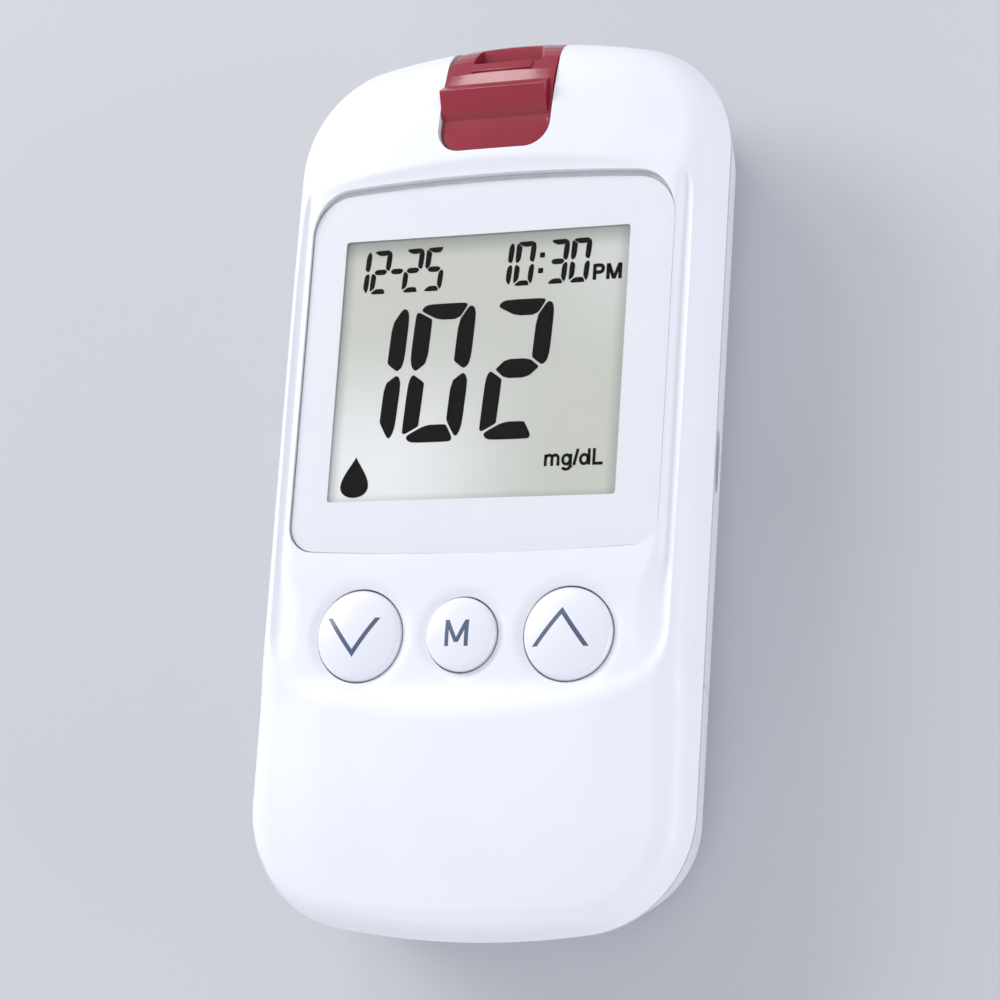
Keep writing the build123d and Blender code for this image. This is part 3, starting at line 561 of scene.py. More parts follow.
def crown(x, y):
    return natural_spline(CROWN_LINE, y) - (CROWN_RADIUS - np.sqrt(CROWN_RADIUS**2 - x**2))


def smoothstep(value, low, high):
    t = np.clip((value - low) / (high - low), 0.0, 1.0)
    return t * t * (3 - 2 * t)


def soft_min(a, b, width):
    overlap = np.maximum(width - np.abs(a - b), 0.0) / width
    return np.minimum(a, b) - overlap**2 * width / 4


def soft_max(a, b, width):
    return -soft_min(-a, -b, width)


def basin_distance(x, y):
    """How far outside the basin's floor a place lies; negative inside."""
    share = (np.clip(np.abs(x) / BASIN_HALF_WIDTH, 0.0, 1.0))**2
    low = BASIN_Y[0] + BASIN_SAG[0] * share
    high = BASIN_Y[1] - BASIN_SAG[1] * share
    corner = np.where(y < 0, BASIN_CORNER[0], BASIN_CORNER[1])
    over_x = np.abs(x) - BASIN_HALF_WIDTH + corner
    over_y = np.maximum(low - y, y - high) + corner
    outside = np.hypot(np.maximum(over_x, 0.0), np.maximum(over_y, 0.0))
    return outside + np.minimum(np.maximum(over_x, over_y), 0.0) - corner


def basin_height(x, y):
    """The height of the basin: its island, its valleys and its walls."""
    step = smoothstep(y, *FLOOR_STEP)
    floor = KEY_FLOOR_Z + (DISPLAY_FLOOR_Z - KEY_FLOOR_Z) * step - x**2 / (2 * FLOOR_RADIUS)
    for key_x, key_y, radius in KEYS.values():
        edge = radius + KEY_GAP
        away = np.hypot(x - key_x, y - key_y)
        rise = smoothstep(away, edge - DISH_OVERLAP, edge + DISH_WIDTH)
        floor = floor - DISH_DEPTH * (1 - rise)
    start = KEY_ISLAND_EDGE + (ISLAND_EDGE[0] - KEY_ISLAND_EDGE) * smoothstep(y, *ISLAND_CHANGE)
    fade = 1 - VALLEY_FADE * smoothstep(-y, *VALLEY_END)
    fall = smoothstep(np.abs(x), start, ISLAND_EDGE[1]) * fade
    floor = floor + (VALLEY_Z - floor) * fall
    wall = soft_max(basin_distance(x, y), 0.0 * x, FOOT_ROUND)
    side_slope, end_slope = BASIN_WALL_SLOPE
    return floor + (side_slope + (end_slope - side_slope) * smoothstep(-y, *WALL_TURN)) * wall


def casing_height(x, y, top):
    """The casing's top where its pillow alone would be as high as top."""
    ends = smoothstep(-y, *PILLOW_START) + BROW_SHARE * smoothstep(y, *BROW_START)
    round_off = SIDE_FALL * smoothstep(np.abs(x), *SIDE_FALL_X) * ends
    top = PARTING_Z + (top - PARTING_Z) * (1 - round_off)
    rim_round = RIM_ROUND[0] + RIM_ROUND[1] * smoothstep(-y, *RIM_CHANGE)
    return soft_min(top, basin_height(x, y), rim_round)


def shoulder_section():
    """Insets and drops of the shoulder's section, from the parting line up, and
    the height that it spans."""
    lean0, wide, lean1, tight = SHOULDER

    def arc_points(radius, start, end, count):
        angles = np.radians(np.linspace(start, end, count))
        a = np.radians(start)
        return (radius * (math.cos(a) - np.cos(angles)), radius * (np.sin(angles) - math.sin(a)))

    s0, z0 = arc_points(wide, lean0, lean1, SHOULDER_POINTS[0])
    s1, z1 = arc_points(tight, lean1, 90.0, SHOULDER_POINTS[1])
    s = np.concatenate([s0, s0[-1] + s1[1:]])
    z = np.concatenate([z0, z0[-1] + z1[1:]])
    return s, z[-1] - z, z[-1]


def graded(stops):
    """A rising list from 0 to 1 with the given step up to each stop's end."""
    places = [0.0]
    for end, step in stops:
        start = places[-1]
        count = max(1, round((end - start) / step))
        places += [start + (end - start) * (i + 1) / count for i in range(count)]
    return np.array(places) / places[-1]


def grid_fill(ring, across, along):
    """Points of a Coons patch inside a ring of arched_outline's order."""
    nx, ny = len(across) - 1, len(along) - 1
    right = ring[:ny + 1]
    top = ring[ny:ny + nx + 1][::-1]
    left = ring[ny + nx:2 * ny + nx + 1][::-1]
    bottom = np.vstack([ring[2 * ny + nx:], ring[:1]])
    u = across[None, :, None]
    v = along[:, None, None]
    return ((1 - v) * bottom[None] + v * top[None] + (1 - u) * left[:, None] + u * right[:, None]
            - (1 - u) * (1 - v) * bottom[0] - u * (1 - v) * bottom[-1]
            - (1 - u) * v * top[0] - u * v * top[-1])


# The skin's mesh: shares across and along, finest at the basin's two ends, and
# the insets of the shoulder's rings, finest where it turns flat.
ACROSS = evenly(126)
ALONG = graded([(10.0, 0.6), (21.0, 0.25), (30.0, 0.5), (44.0, 0.4), (62.0, 1.1), (76.0, 0.5),
                (84.0, 0.22), (90.0, 0.5)])
OUTER_INSETS = [0.0, 0.15, 0.4, 0.7, 1.0, 1.25, 1.5, 1.7, *(1.8 + 0.12 * i for i in range(15)),
                3.7, 4.0, 4.35, 4.707]
INNER_INSETS = [0.0, 1.7, 2.2, 2.7, 3.2, 3.9, 4.6]
GRID_INSET = 4.75


def casing_skin(ring_insets, wall, floor_wall):
    """Rings and a grid of points over the casing's top, for its outside or, with
    the walls' thicknesses, for the inside of its shell."""
    points, normals = arched_outline(*OUTLINE, ACROSS, ALONG)
    insets, drops, span = shoulder_section()
    rise = crown(points[:, 0], points[:, 1]) - PARTING_Z
    scale = rise / span
    rings = []
    for step in ring_insets:
        reach = np.maximum(step * scale, wall)
        place = points - normals * reach[:, None]
        drop = scale * np.interp(reach / scale, insets, drops)
        top = crown(place[:, 0], place[:, 1]) - drop
        z = casing_height(place[:, 0], place[:, 1], top) - floor_wall
        rings.append(np.column_stack([place, z]))
    inner = points - normals * GRID_INSET
    grid = grid_fill(inner, ACROSS, ALONG)
    x, y = grid[..., 0], grid[..., 1]
    z = casing_height(x, y, crown(x, y)) - floor_wall
    return rings, np.dstack([grid, z])


def add_skin(bm, rings, grid, flip):
    """Quads over the rings and the grid; returns the first ring's vertices."""
    ring_verts, grid_verts = new_verts(bm, rings), new_verts(bm, grid)
    ny, nx = len(grid_verts) - 1, len(grid_verts[0]) - 1
    edge = [grid_verts[j][nx] for j in range(ny)]
    edge += [grid_verts[ny][i] for i in range(nx, 0, -1)]
    edge += [grid_verts[j][0] for j in range(ny, 0, -1)]
    edge += [grid_verts[0][i] for i in range(nx)]
    ring_verts.append(edge)
    bridge(bm, ring_verts[::-1] if flip else ring_verts)
    for low, high in zip(grid_verts, grid_verts[1:]):
        for i in range(nx):
            corners = [low[i], low[i + 1], high[i + 1], high[i]]
            bm.faces.new(corners[::-1] if flip else corners)
    return ring_verts[0]


def ring_prism(name, rows):
    """A closed object over rings of (x, y, z) points in mm."""
    bm = bmesh.new()
    add_prism(bm, rows)
    return link_mesh(name, bm)


def circle(x, y, radius, steps):
    return [(x + radius * math.cos(2 * math.pi * i / steps),
             y + radius * math.sin(2 * math.pi * i / steps)) for i in range(steps)]


def rectangle(x0, x1, y0, y1):
    return [(x0, y0), (x1, y0), (x1, y1), (x0, y1)]


def column(name, outline, z0, z1):
    return ring_prism(name, [at_height(outline, z0), at_height(outline, z1)])


def apply_modifiers(piece):
    bpy.context.view_layer.update()
    depsgraph = bpy.context.evaluated_depsgraph_get()
    mesh = bpy.data.meshes.new_from_object(piece.evaluated_get(depsgraph))
    piece.modifiers.clear()
    old = piece.data
    piece.data = mesh
    bpy.data.meshes.remove(old)


def combine(piece, tool, operation):
    """Adds, cuts or intersects with a tool object, and takes it away."""
    modifier = piece.modifiers.new("combine", "BOOLEAN")
    modifier.operation = operation
    modifier.solver = "MANIFOLD"
    modifier.object = tool
    apply_modifiers(piece)
    data = tool.data
    bpy.data.objects.remove(tool)
    bpy.data.meshes.remove(data)


def cut(piece, tool):
    combine(piece, tool, "DIFFERENCE")


def smooth_by_angle(piece, degrees):
    mesh = piece.data
    mesh.shade_smooth()
    mesh.set_sharp_from_angle(angle=math.radians(degrees))


# ---- lens and its recess
lens_low, lens_high = (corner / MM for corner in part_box("display_lens"))
LENS_OUTLINE = (lens_high.x, lens_low.y, lens_high.y, 0.65, 0.95, 2.9, 4.4)
LENS_GAP = 0.1
BORDER_THICKNESS = 0.15
# The recess is wider past the lens's upper end, from its corners on.
TOP_GAP = 0.5
TOP_CORNER = (4.5, 0.6)
# A deeper slot round the recess, from just inside the lens's outline.
SLOT_INSET = 0.3
SLOT_DEPTH = 0.35
GLASS_CLEARANCE = 0.15


def lens_ring(inset):
    points, normals = arched_outline(*LENS_OUTLINE, evenly(64), evenly(64))
    return points - normals * inset


def recess_outline():
    points = lens_ring(-LENS_GAP)
    start, end = TOP_CORNER
    share = smoothstep(points[:, 1], lens_high.y - start, lens_high.y - end)
    return points + np.column_stack([0 * share, TOP_GAP * share])


# ---- strip end (mm)
ejector_low, ejector_high = (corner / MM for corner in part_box("ejector_slide"))
EJECTOR_HALF = ejector_high.x
EJECTOR_START = ejector_low.y
EJECTOR_GAP = 0.15
EJECTOR_CORNER = 2.6
BED_Z = 16.0
BED_BEND_Y = HALF_LENGTH - 4.15
BED_FOOT_Y = HALF_LENGTH - 2.4
BED_END_Y = HALF_LENGTH - 1.3
BED_FOOT_Z = 13.2
LIP_Z = 12.0
STRIP_Z = (13.9, 14.7)
STRIP_HALF = 3.3
# Cutters that run out of the casing end here.
FAR = 60.0
# The block under the bed: where its lower part starts, half its width, section.
BLOCK_Y = HALF_LENGTH - 4.0
BLOCK_HALF = EJECTOR_HALF + 1.4
BLOCK = [(EJECTOR_START - 1.3, 15.0), (BLOCK_Y, 15.0), (BLOCK_Y, PARTING_Z + 0.02),
         (HALF_LENGTH - 1.0, PARTING_Z + 0.02), (HALF_LENGTH - 1.4, 14.6),
         (HALF_LENGTH - 3.6, 16.2), (EJECTOR_START - 1.3, 17.2)]
# The ejector's end bends beyond a slanting plane, between two values of y + z.
BEND_PLANE = (58.6, 59.4)
SADDLE_Y, SADDLE_Z = HALF_LENGTH - 5.8, 17.3
NOTCH_Y = HALF_LENGTH - 3.25


def ejector_plan(gap, end):
    """The ejector's plan, round at its lower corners and open above."""
    w, r = EJECTOR_HALF + gap, EJECTOR_CORNER + gap
    y0 = EJECTOR_START - gap
    lower_left = arc((-w + r, y0 + r), r, r, 180, 270, 12)
    lower_right = arc((w - r, y0 + r), r, r, 270, 360, 12)
    return lower_left + lower_right + [(w, end), (-w, end)]


def arch_over(x, y, z):
    """Bends the ejector's outer end along the casing's arch and crown."""
    share = smoothstep(y, SADDLE_Y, NOTCH_Y) * smoothstep(z + y, *BEND_PLANE)
    return y - share * UPPER_SAG * (x / HALF_WIDTH)**2, z - share * x**2 / (2 * CROWN_RADIUS)


def section_block(name, section, x0, x1, steps=1, bend=None):
    """A solid of one section (y, z) from x0 to x1, bent in steps if asked."""
    rows = []
    for x in np.linspace(x0, x1, steps + 1):
        rows.append([(x, *(bend(x, y, z) if bend else (y, z))) for y, z in section])
    bm = bmesh.new()
    add_prism(bm, rows)
    bmesh.ops.recalc_face_normals(bm, faces=bm.faces)
    return link_mesh(name, bm)


def ejector_bed(gap):
    """The line (y, z) that the ejector slides on, a gap above the bed itself."""
    return [(EJECTOR_START - 3.0, BED_Z + gap), (BED_BEND_Y + gap / 2, BED_Z + gap),
            (BED_FOOT_Y + gap / 2, BED_FOOT_Z + gap), (BED_END_Y + gap, BED_FOOT_Z + gap),
            (BED_END_Y + gap, LIP_Z)]


# x, y, foot height, boss radius and core radius of each pair of screw bosses.
BOSSES = [
    (HALF_WIDTH - 10.0, HALF_LENGTH - 13.45, 13.7, 2.3, 1.0),
    (HALF_WIDTH - 8.4, 14.4 - HALF_LENGTH, 12.7, 2.3, 1.0),
    (HALF_WIDTH - 5.5, KEYS["key_down"][1] + 7.25, 13.7, 1.7, 0.7),
]
CORE_DEPTH = 2.4
# Bosses, hooks and the pusher reach up to here, into what carries them.
JOIN_Z = 16.6
# x, y, width and length of the ejector's hooks and of its pusher.
FEET = [
    (-5.0, HALF_LENGTH - 10.75, 0.8, 1.6), (5.0, HALF_LENGTH - 10.75, 0.8, 1.6),
    (0.0, HALF_LENGTH - 11.35, 1.6, 1.2),
]
FOOT_CLEARANCE = 0.12
EJECTOR_TRAVEL = 4.0
# Cuts through the casing's floor start below its inside, here.
UNDER_FLOOR_Z = 14.0


def build_front_housing():
    """The shell's skin, the block under the ejector's bed and the screw bosses,
    with cuts for the lens, glass, keys, ejector, strip and hooks."""
    outer_rings, outer_grid = casing_skin(OUTER_INSETS, 0.0, 0.0)
    outline, normals = arched_outline(*OUTLINE, ACROSS, ALONG)
    groove = outline - normals * SEAM_DEPTH
    outer_rings[0][:, 2] = PARTING_Z + SEAM_HEIGHT
    outer_rings = [np.column_stack([groove, groove[:, 0] * 0.0 + z])
                   for z in (PARTING_Z, PARTING_Z + SEAM_HEIGHT)] + outer_rings
    inner_rings, inner_grid = casing_skin(INNER_INSETS, HOUSING_WALL, FLOOR_WALL)
    inner_foot = inner_rings[0].copy()
    inner_foot[:, 2] = PARTING_Z
    bm = bmesh.new()
    outer_foot = add_skin(bm, outer_rings, outer_grid, False)
    bridge(bm, [add_skin(bm, [inner_foot] + inner_rings, inner_grid, True), outer_foot])
    piece = dress(link_mesh("front_housing_shell", bm), casing_white, "meter_body")

    combine(piece, section_block("block", BLOCK, -BLOCK_HALF, BLOCK_HALF), "UNION")
    for x, y, foot_z, radius, core in BOSSES:
        for side in (-1, 1):
            boss = circle(side * x, y, radius, 32)
            combine(piece, column("boss", boss, foot_z, JOIN_Z), "UNION")
            hole = circle(side * x, y, core, 24)
            cut(piece, column("core", hole, foot_z - 1.0, foot_z + CORE_DEPTH))

    recess_z = lens_low.z - BORDER_THICKNESS
    cut(piece, column("recess", recess_outline(), recess_z, FAR))
    slot = column("slot", recess_outline(), recess_z - SLOT_DEPTH, FAR)
    cut(slot, column("inside", lens_ring(SLOT_INSET), 0.0, FAR + 1.0))
    cut(piece, slot)
    c = GLASS_CLEARANCE
    glass = rectangle(glass_low.x / MM - c, glass_high.x / MM + c,
                      glass_low.y / MM - c, glass_high.y / MM + c)
    cut(piece, column("glass", glass, UNDER_FLOOR_Z, recess_z + 0.5))
    for x, y, radius in KEYS.values():
        hole = circle(x, y, radius + KEY_GAP, KEY_STEPS)
        cut(piece, column("hole", hole, UNDER_FLOOR_Z, FAR))

    path = ejector_bed(0.0)
    low_z = LIP_Z - 1.0
    room = path + [(BED_END_Y, low_z), (FAR, low_z), (FAR, FAR), (path[0][0], FAR)]
    room = section_block("room", room, -EJECTOR_HALF - 1.0, EJECTOR_HALF + 1.0)
    plan = ejector_plan(EJECTOR_GAP, FAR + 1.0)
    combine(room, column("plan", plan, 0.0, FAR + 1.0), "INTERSECT")
    cut(piece, room)
    way = rectangle(BLOCK_Y - 0.3, FAR, *STRIP_Z)
    cut(piece, section_block("strip", way, -STRIP_HALF, STRIP_HALF))
    c = FOOT_CLEARANCE
    for x, y, width, length in FEET:
        slot = rectangle(x - width / 2 - c, x + width / 2 + c, y - length / 2 - c,
                         y + length / 2 + EJECTOR_TRAVEL + c)
        cut(piece, column("slot", slot, UNDER_FLOOR_Z - 1.0, BED_Z + 1.0))
    smooth_by_angle(piece, 32.0)
    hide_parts("front_housing")


# Insets and heights of the lens's section, from its foot to its polished top.
LENS_SECTION = (
    (0.06, lens_low.z + 0.03), (0.0, lens_low.z + 0.1), (0.0, lens_high.z - 0.26),
    (0.03, lens_high.z - 0.15), (0.1, lens_high.z - 0.06), (0.2, lens_high.z - 0.015),
    (0.34, lens_high.z),
)


def build_lens():
    """The clear window with a polished bevel round its top."""
    piece = ring_prism("display_window", [at_height(lens_ring(inset), z)
                                          for inset, z in LENS_SECTION])
    smooth_by_angle(piece, 40.0)
    dress(piece, lens_clear, "meter_body", "display_lens")


BORDER_INSET = 0.05
BORDER_CORNER = 0.35


def build_border():
    """The printed border under the window, open over the display."""
    border_low, border_high = (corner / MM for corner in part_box("lens_border"))
    piece = column("window_border", lens_ring(BORDER_INSET), border_low.z + 0.005,
                   border_high.z - 0.02)
    x0, x1, y0, y1 = (value / MM for value in WINDOW)
    opening = []
    r = BORDER_CORNER
    for x, y, start in ((x0 + r, y0 + r, 180), (x1 - r, y0 + r, 270), (x1 - r, y1 - r, 0),
                        (x0 + r, y1 - r, 90)):
        opening += arc((x, y), r, r, start, start + 90, 6)
    cut(piece, column("opening", opening, 0.0, FAR))
    smooth_by_angle(piece, 40.0)
    dress(piece, border_print, "meter_body", "lens_border")


build_front_housing()
build_lens()
build_border()


# ---- ejector slide
NOTCH_HALF = 3.45
END_Y = HALF_LENGTH - EJECTOR_GAP
TONGUE_END = (HALF_LENGTH - 9.55, 16.95)
# The section's upper side (y, z), from the tongue over the ridge to the lip.
UPPER_SIDE = [
    (EJECTOR_START - 3.0, 17.95), TONGUE_END, (HALF_LENGTH - 8.85, 17.55),
    (HALF_LENGTH - 6.65, 18.5), (SADDLE_Y, SADDLE_Z), (HALF_LENGTH - 4.4, 16.95),
    (NOTCH_Y + 0.6, 16.25), (HALF_LENGTH - 1.9, 15.6), (HALF_LENGTH - 1.15, 14.75),
    (END_Y - 0.2, 13.4), (END_Y, LIP_Z),
]
SECTION_ROUND = 0.22
BED_CLEARANCE = 0.12
EDGE_BEVEL = 0.1
# How far the ridge stops short of the ejector's right side.
RIDGE_STEP = 0.5
HOOK_FOOT_Z = 13.82
PUSHER_FOOT_Z = STRIP_Z[0] + 0.27
BARB_REACH = 0.6
BARB_Z = (14.38, 14.88)


def rounded(points, radius, steps=5):
    """A section's points with each of its corners turned on a small arc."""
    out = []
    count = len(points)
    for i in range(count):
        corner = Vector(points[i])
        before, after = Vector(points[i - 1]), Vector(points[(i + 1) % count])
        to_before, to_after = (before - corner), (after - corner)
        half = to_before.angle(to_after) / 2
        reach = radius / max(0.2, math.tan(half))
        reach = min(reach, to_before.length * 0.4, to_after.length * 0.4)
        start = corner + to_before.normalized() * reach
        end = corner + to_after.normalized() * reach
        for step in range(steps + 1):
            t = step / steps
            out.append(tuple(start.lerp(corner, t).lerp(corner.lerp(end, t), t)))
    return out


def build_ejector():
    """The thumb slide: a tongue, a ridge with a saddle behind it and a strip
    notch in the lip, with two hooks and the strip's pusher below."""
    section = rounded(UPPER_SIDE[::-1] + ejector_bed(BED_CLEARANCE), SECTION_ROUND)
    piece = section_block("ejector_thumb_slide", section, -EJECTOR_HALF, EJECTOR_HALF, 16,
                          arch_over)
    points, normals = arched_outline(*OUTLINE, evenly(90), evenly(40))
    for outline in (ejector_plan(0.0, FAR), points - normals * EJECTOR_GAP):
        combine(piece, column("outline", outline, 0.0, FAR), "INTERSECT")
    rim = [(TONGUE_END[0] - 0.6, TONGUE_END[1] + 0.02), (SADDLE_Y + 0.15, SADDLE_Z + 0.02),
           (SADDLE_Y + 0.15, FAR), (TONGUE_END[0] - 0.6, FAR)]
    cut(piece, section_block("rim", rim, EJECTOR_HALF - RIDGE_STEP, FAR))
    pad = rounded([(NOTCH_Y - 1.15, 16.0), (NOTCH_Y + 0.3, 16.0), (NOTCH_Y + 0.3, 16.47),
                   (NOTCH_Y - 1.0, 17.05)], 0.12)
    combine(piece, section_block("pad", pad, -NOTCH_HALF, NOTCH_HALF), "UNION")
    notch = [(-NOTCH_HALF, STRIP_Z[0]), (NOTCH_HALF - 0.1, STRIP_Z[0]), (NOTCH_HALF + 1.3, 16.4),
             (NOTCH_HALF + 1.3, FAR), (-NOTCH_HALF, FAR)]
    rows = [[(x, y, z) for x, z in notch] for y in (FAR, NOTCH_Y)]
    cut(piece, ring_prism("notch", rows))
    bevel = piece.modifiers.new("edges", "BEVEL")
    bevel.width = EDGE_BEVEL * MM
    bevel.segments = 3
    bevel.limit_method = "ANGLE"
    bevel.angle_limit = math.radians(40.0)
    apply_modifiers(piece)
    for x, y, width, length in FEET:
        low, high = x - width / 2, x + width / 2
        foot = rectangle(low, high, y - length / 2, y + length / 2)
        foot_z = HOOK_FOOT_Z if x else PUSHER_FOOT_Z
        combine(piece, column("foot", foot, foot_z, JOIN_Z), "UNION")
        if x:
            side = math.copysign(BARB_REACH, x)
            barb = rectangle(min(low, low + side), max(high, high + side),
                             y - length / 2, y + length / 2)
            combine(piece, column("barb", barb, *BARB_Z), "UNION")
    smooth_by_angle(piece, 30.0)
    dress(piece, crimson, "ejector", "ejector_slide")


build_ejector()


# ---- display figures
# The figures are drawn in mm, on a sheet whose point SHEET_MIDDLE lies on the
# middle of the glass.
INK_Z = glass_high.z / MM
INK_THICKNESS = 0.02
SHEET_MIDDLE = (-0.15, 11.15)
SHEET_SHIFT = ((glass_low.x + glass_high.x) / 2 / MM - SHEET_MIDDLE[0],
               (glass_low.y + glass_high.y) / 2 / MM - SHEET_MIDDLE[1])


def on_glass(points):
    return [(p[0] + SHEET_SHIFT[0], p[1] + SHEET_SHIFT[1]) for p in points]


# The segments' corners: x, y, x, y ... in hundredths of a millimetre, for the
# middle big figure and the third last small one.
BIG_SEGMENTS = {
    "A": (-695, 1745, -660, 1785, -590, 1800, -200, 1800, -170, 1775, -265, 1625, -500, 1625,
          -685, 1720),
    "B": (-120, 1762, -90, 1735, -75, 1660, -95, 1240, -120, 1130, -170, 1088, -205, 1105,
          -287, 1170, -290, 1200, -265, 1600, -175, 1735, -150, 1760),
    "C": (-175, 1038, -145, 1020, -120, 950, -150, 500, -175, 410, -210, 362, -240, 380,
          -325, 530, -330, 560, -305, 950, -195, 1030),
    "D": (-778, 365, -760, 395, -560, 495, -340, 495, -320, 475, -257, 360, -262, 320, -295, 308,
          -700, 308, -755, 330),
    "E": (-735, 1038, -617, 955, -613, 930, -643, 500, -650, 480, -795, 403, -822, 410, -828, 440,
          -798, 920, -775, 1010, -750, 1035),
    "F": (-720, 1715, -578, 1640, -570, 1615, -595, 1175, -705, 1088, -740, 1088, -770, 1130,
          -790, 1220, -762, 1680, -745, 1712),
    "G": (-685, 1062, -580, 1162, -320, 1162, -215, 1080, -212, 1060, -330, 958, -580, 958,
          -685, 1050),
}
SMALL_SEGMENTS = {
    "A": (360, 2408, 375, 2422, 520, 2425, 529, 2415, 505, 2375, 490, 2366, 420, 2366, 368, 2397),
    "B": (540, 2412, 554, 2390, 560, 2350, 550, 2240, 536, 2198, 520, 2198, 495, 2215, 492, 2240,
          500, 2360, 510, 2385, 525, 2408),
    "C": (530, 2176, 543, 2160, 546, 2120, 536, 2010, 520, 1966, 508, 1968, 485, 2008, 480, 2030,
          490, 2145, 510, 2168),
    "D": (336, 1955, 350, 1972, 390, 2002, 478, 2002, 495, 1965, 497, 1950, 480, 1946, 360, 1946),
    "E": (350, 2176, 380, 2152, 386, 2130, 376, 2012, 330, 1978, 319, 1985, 325, 2130, 335, 2168),
    "F": (355, 2403, 398, 2372, 401, 2350, 390, 2230, 362, 2196, 342, 2196, 330, 2230, 338, 2380,
          345, 2402),
    "G": (362, 2187, 387, 2215, 482, 2215, 507, 2196, 507, 2184, 482, 2155, 392, 2155, 366, 2175),
}
DIGITS = {"0": "ABCDEF", "1": "BC", "2": "ABDEG", "3": "ABCDG", "5": "ACDFG", "-": "G"}


def draw_digits(bm, segments, places):
    for digit, offset in places:
        for name in DIGITS[digit]:
            flat = segments[name]
            outline = [(x / 100 + offset, y / 100) for x, y in zip(flat[::2], flat[1::2])]
            add_plate(bm, on_glass(round_corners(outline, 0.2)), INK_Z, INK_THICKNESS)


def draw_strokes(bm, strokes, width):
    for points in strokes:
        add_stroke(bm, on_glass(points), width, INK_Z, INK_THICKNESS)


figures = bmesh.new()
draw_digits(figures, BIG_SEGMENTS, [("1", -7.62), ("0", 0.0), ("2", 8.78)])
draw_digits(figures, SMALL_SEGMENTS, [
    ("1", -18.85), ("2", -16.48), ("-", -14.58), ("2", -12.74), ("5", -10.3),
    ("1", -2.45), ("0", 0.0), ("3", 3.73), ("0", 6.2),
])
DOT_HALF = 0.28
for x, y in ((6.32, 22.65), (6.22, 20.97)):
    dot = rectangle(x - DOT_HALF, x + DOT_HALF, y - DOT_HALF, y + DOT_HALF)
    dot = round_corners(dot, 0.1)
    add_plate(figures, on_glass(dot), INK_Z, INK_THICKNESS)
dress(link_mesh("display_figures", figures), lcd_ink, "meter_body")

letters = bmesh.new()
PM_WIDTH = 0.38
UNIT_WIDTH = 0.31
P_BOWL = [(12.26, 21.16), (12.85, 21.16)] + arc((12.85, 20.79), 0.33, 0.37, 80, -80) + [
    (12.85, 20.42), (12.26, 20.42)]
draw_strokes(letters, [
    [(12.26, 19.62), (12.26, 21.31)],
    P_BOWL,
    [(13.74, 19.62), (13.74, 21.31)],
    [(13.78, 21.28), (14.40, 19.66)],
    [(14.40, 19.66), (15.02, 21.28)],
    [(15.07, 21.31), (15.07, 19.62)],
], PM_WIDTH)
draw_strokes(letters, [
    [(8.13, 0.1), (8.13, 1.3)],
    [(8.13, 0.95)] + arc((8.5, 0.87), 0.34, 0.36, 150, 0) + [(8.84, 0.1)],
    [(8.84, 0.95)] + arc((9.18, 0.87), 0.34, 0.36, 150, 0) + [(9.52, 0.1)],
    [(10.88, 1.3), (10.88, 0.05)] + arc((10.43, 0.05), 0.45, 0.35, 0, -155),
    [(11.26, 0.1), (11.64, 1.8)],
    [(12.9, 0.1), (12.86, 1.8)],
    [(13.42, 1.8), (13.42, 0.22), (14.4, 0.22)],
], UNIT_WIDTH)
for centre in ((10.42, 0.72), (12.36, 0.7)):
    ring = on_glass(arc(centre, 0.41, 0.48, 0, 360 * 23 / 24, 23))
    add_stroke(letters, ring, UNIT_WIDTH, INK_Z, INK_THICKNESS, closed=True)
dress(link_mesh("display_letters", letters), lcd_ink, "meter_body")


DROP_HALF = 0.525


def drop_outline(x, y, size):
    """A drop: a round foot that draws up into a point, size high."""
    points = []
    for t in np.linspace(0.0, 2 * math.pi, 49)[:-1]:
        pull = 0.5 * (1 - math.cos(t))
        points.append((x + size * DROP_HALF * math.sin(t) * pull**0.8,
                       y + size * 0.5 * math.cos(t)))
    return points


drop = bmesh.new()
add_plate(drop, on_glass(drop_outline(-13.3, -0.4, 4.4)), INK_Z, INK_THICKNESS)
dress(link_mesh("display_drop", drop), lcd_ink, "meter_body")


# ---- keys
KEY_DOME_RADIUS = 14.0
KEY_DOME_RISE = 0.28
KEY_EDGE = 0.45
FLANGE_THICKNESS = 0.6


def dome_z(node, reach):
    """The height of a key's dome (mm) this far from its middle."""
    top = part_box(node)[1].z / MM + KEY_DOME_RISE
    return top - KEY_DOME_RADIUS + math.sqrt(KEY_DOME_RADIUS**2 - reach**2)


def build_key(node):
    """A domed cap with a rolled edge over the flange that keeps it in."""
    x, y, radius = KEYS[node]
    edge = radius - KEY_EDGE
    profile = [(reach, dome_z(node, reach)) for reach in np.linspace(0.05, edge, 20)]
    lean = math.asin(edge / KEY_DOME_RADIUS)
    roll = KEY_EDGE / (1 - math.sin(lean))
    for angle in np.linspace(lean, math.pi / 2, 9)[1:]:
        profile.append((edge + roll * (math.sin(angle) - math.sin(lean)),
                        dome_z(node, edge) - roll * (math.cos(lean) - math.cos(angle))))
    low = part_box(node)[0].z / MM
    flange = low + FLANGE_THICKNESS
    profile += [(radius, flange), (radius + FLANGE_WIDTH, flange), (radius + FLANGE_WIDTH, low)]
    piece = ring_prism(node + "_cap", [at_height(circle(x, y, reach, KEY_STEPS), z)
                                       for reach, z in profile[::-1]])
    smooth_by_angle(piece, 35.0)
    dress(piece, key_white, node, node)


for key in KEYS:
    build_key(key)


# ---- soft pieces
def add_squashed(name, node, material):
    """A copy of a bell or of the spring, with a mesh of its own, in place of its node."""
    source = nodes[node]
    piece = bpy.data.objects.new(name, source.data.copy())
    piece.matrix_world = source.matrix_world.copy()
    scene.collection.objects.link(piece)
    dress(piece, material, "meter_body", node)
    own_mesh(piece)


for key in ("down", "mode", "up"):
    add_squashed("bell_" + key, "key_bell_" + key, silicone)
add_squashed("return_spring", "ejector_spring", steel)


# ---- key marks
MARK_LIFT = 0.012
MARK_DEPTH = 0.03
MARK_STEPS = 8


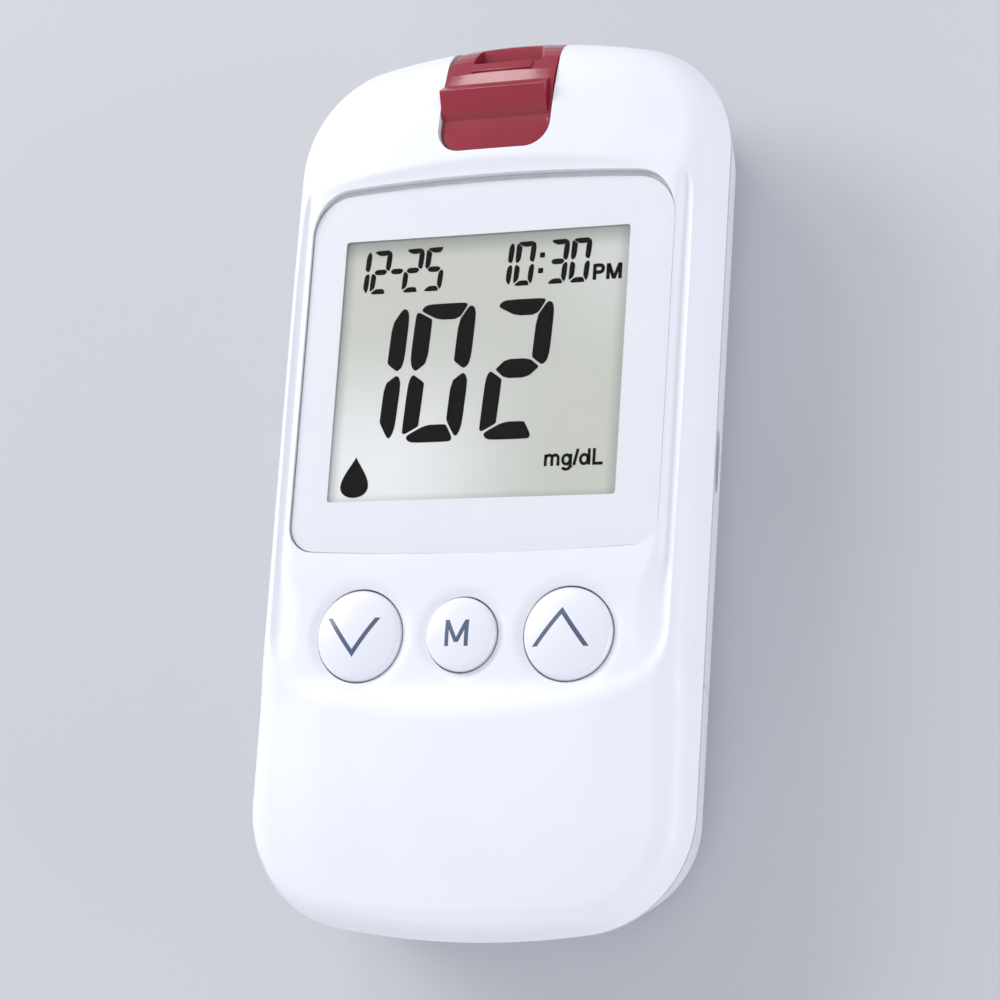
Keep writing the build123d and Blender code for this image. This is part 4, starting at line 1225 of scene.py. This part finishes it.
def draw_mark(name, node, strokes, width):
    """Ink strokes that follow the key's dome, their ends cut level."""
    x, y, _ = KEYS[node]
    bm = bmesh.new()
    for points in strokes:
        fine = [Vector(a).lerp(Vector(b), i / MARK_STEPS) + Vector((x, y))
                for a, b in zip(points, points[1:]) for i in range(MARK_STEPS)]
        fine.append(Vector(points[-1]) + Vector((x, y)))
        left, right = ribbon(fine, width)
        for end, inner in ((0, 1), (-1, -2)):
            along = fine[end] - fine[inner]
            for side in (left, right):
                side[end] = side[end] + along * ((fine[end].y - side[end].y) / along.y)
        rows = []
        for p, q in zip(left, right):
            row = []
            for spot, lift in ((p, MARK_LIFT), (q, MARK_LIFT), (q, -MARK_DEPTH), (p, -MARK_DEPTH)):
                reach = math.hypot(spot.x - x, spot.y - y)
                row.append((spot.x, spot.y, dome_z(node, reach) + lift))
            rows.append(row)
        add_prism(bm, rows)
    dress(link_mesh(name, bm), slate_ink, node)


draw_mark("mark_down", "key_down", [[(-3.13, 1.75), (-0.25, -1.95), (2.35, 1.75)]], 0.46)
draw_mark("mark_up", "key_up", [[(-3.25, -1.42), (-0.38, 2.18), (2.38, -1.42)]], 0.46)
draw_mark("mark_mode", "key_mode", [
    [(-1.18, -1.35), (-1.18, 1.35)], [(-1.22, 1.35), (-0.1, -0.95)],
    [(-0.1, -0.95), (1.02, 1.35)], [(0.98, 1.35), (0.98, -1.35)],
], 0.42)


# ---- floor and light
def floor_material():
    material, tree, shader, vector = new_material("pale_floor")
    cloud = ramp(tree, noise(tree, vector, 3.0, 4.0), 0.3, 0.7)
    colour = mix_colours(tree, cloud, (0.60, 0.61, 0.63), (0.58, 0.59, 0.61))
    set_inputs(shader, {"Base Color": colour, "Roughness": 0.75})
    return material


# Just under the part, so that the two never share a face.
FLOOR_Z = -0.02

floor_bm = bmesh.new()
bmesh.ops.create_grid(floor_bm, x_segments=4, y_segments=4, size=2.0)
floor = link_mesh("floor", floor_bm)
floor.location = (0.0, 0.0, FLOOR_Z * MM)
floor.data.materials.append(floor_material())

# All lamps are discs that look at a point in the part.
LIGHT_TARGET = Vector((0, 0, 0.01))


def area_light(name, place, size, power, colour):
    data = bpy.data.lights.new(name, "AREA")
    data.shape = "DISK"
    data.size = size
    data.energy = power
    data.color = colour
    lamp = bpy.data.objects.new(name, data)
    lamp.location = place
    aim = LIGHT_TARGET - Vector(place)
    lamp.rotation_euler = aim.to_track_quat("-Z", "Y").to_euler()
    scene.collection.objects.link(lamp)


area_light("key_light", (-0.74, 0.42, 0.44), 0.55, 4.4, (1.0, 0.985, 0.96))
area_light("top_light", (-0.40, 0.69, 0.57), 0.24, 1.2, (1.0, 0.99, 0.98))
area_light("rim_light", (0.93, -0.12, 0.13), 0.50, 3.0, (0.97, 0.98, 1.0))
area_light("front_light", (-0.30, -0.88, 0.24), 0.45, 1.3, (0.97, 0.98, 1.0))

world = bpy.data.worlds.new("studio")
world.use_nodes = True
set_inputs(world.node_tree.nodes["Background"],
           {"Color": (0.86, 0.88, 0.95, 1.0), "Strength": 0.80})
scene.world = world
scene.view_settings.view_transform = "Standard"

# ---- camera
# Solved from the photograph: place (mm), direction, up and focal length (mm).
CAMERA_LENS = 112.57
CAMERA_PLACE = Vector((128.943, -73.742, 300.76)) * MM
CAMERA_FORWARD = Vector((-0.3949, 0.22135, -0.89166)).normalized()
CAMERA_UP = Vector((0.02793, 0.97299, 0.22917))
right = CAMERA_FORWARD.cross(CAMERA_UP).normalized()
up = right.cross(CAMERA_FORWARD)
camera_data = bpy.data.cameras.new("camera")
camera_data.sensor_fit = "HORIZONTAL"
camera_data.sensor_width = 36.0
camera_data.lens = CAMERA_LENS
camera = bpy.data.objects.new("camera", camera_data)
camera.matrix_world = Matrix.Translation(CAMERA_PLACE) @ Matrix(
    (right, up, -CAMERA_FORWARD)).transposed().to_4x4()
scene.collection.objects.link(camera)
scene.camera = camera
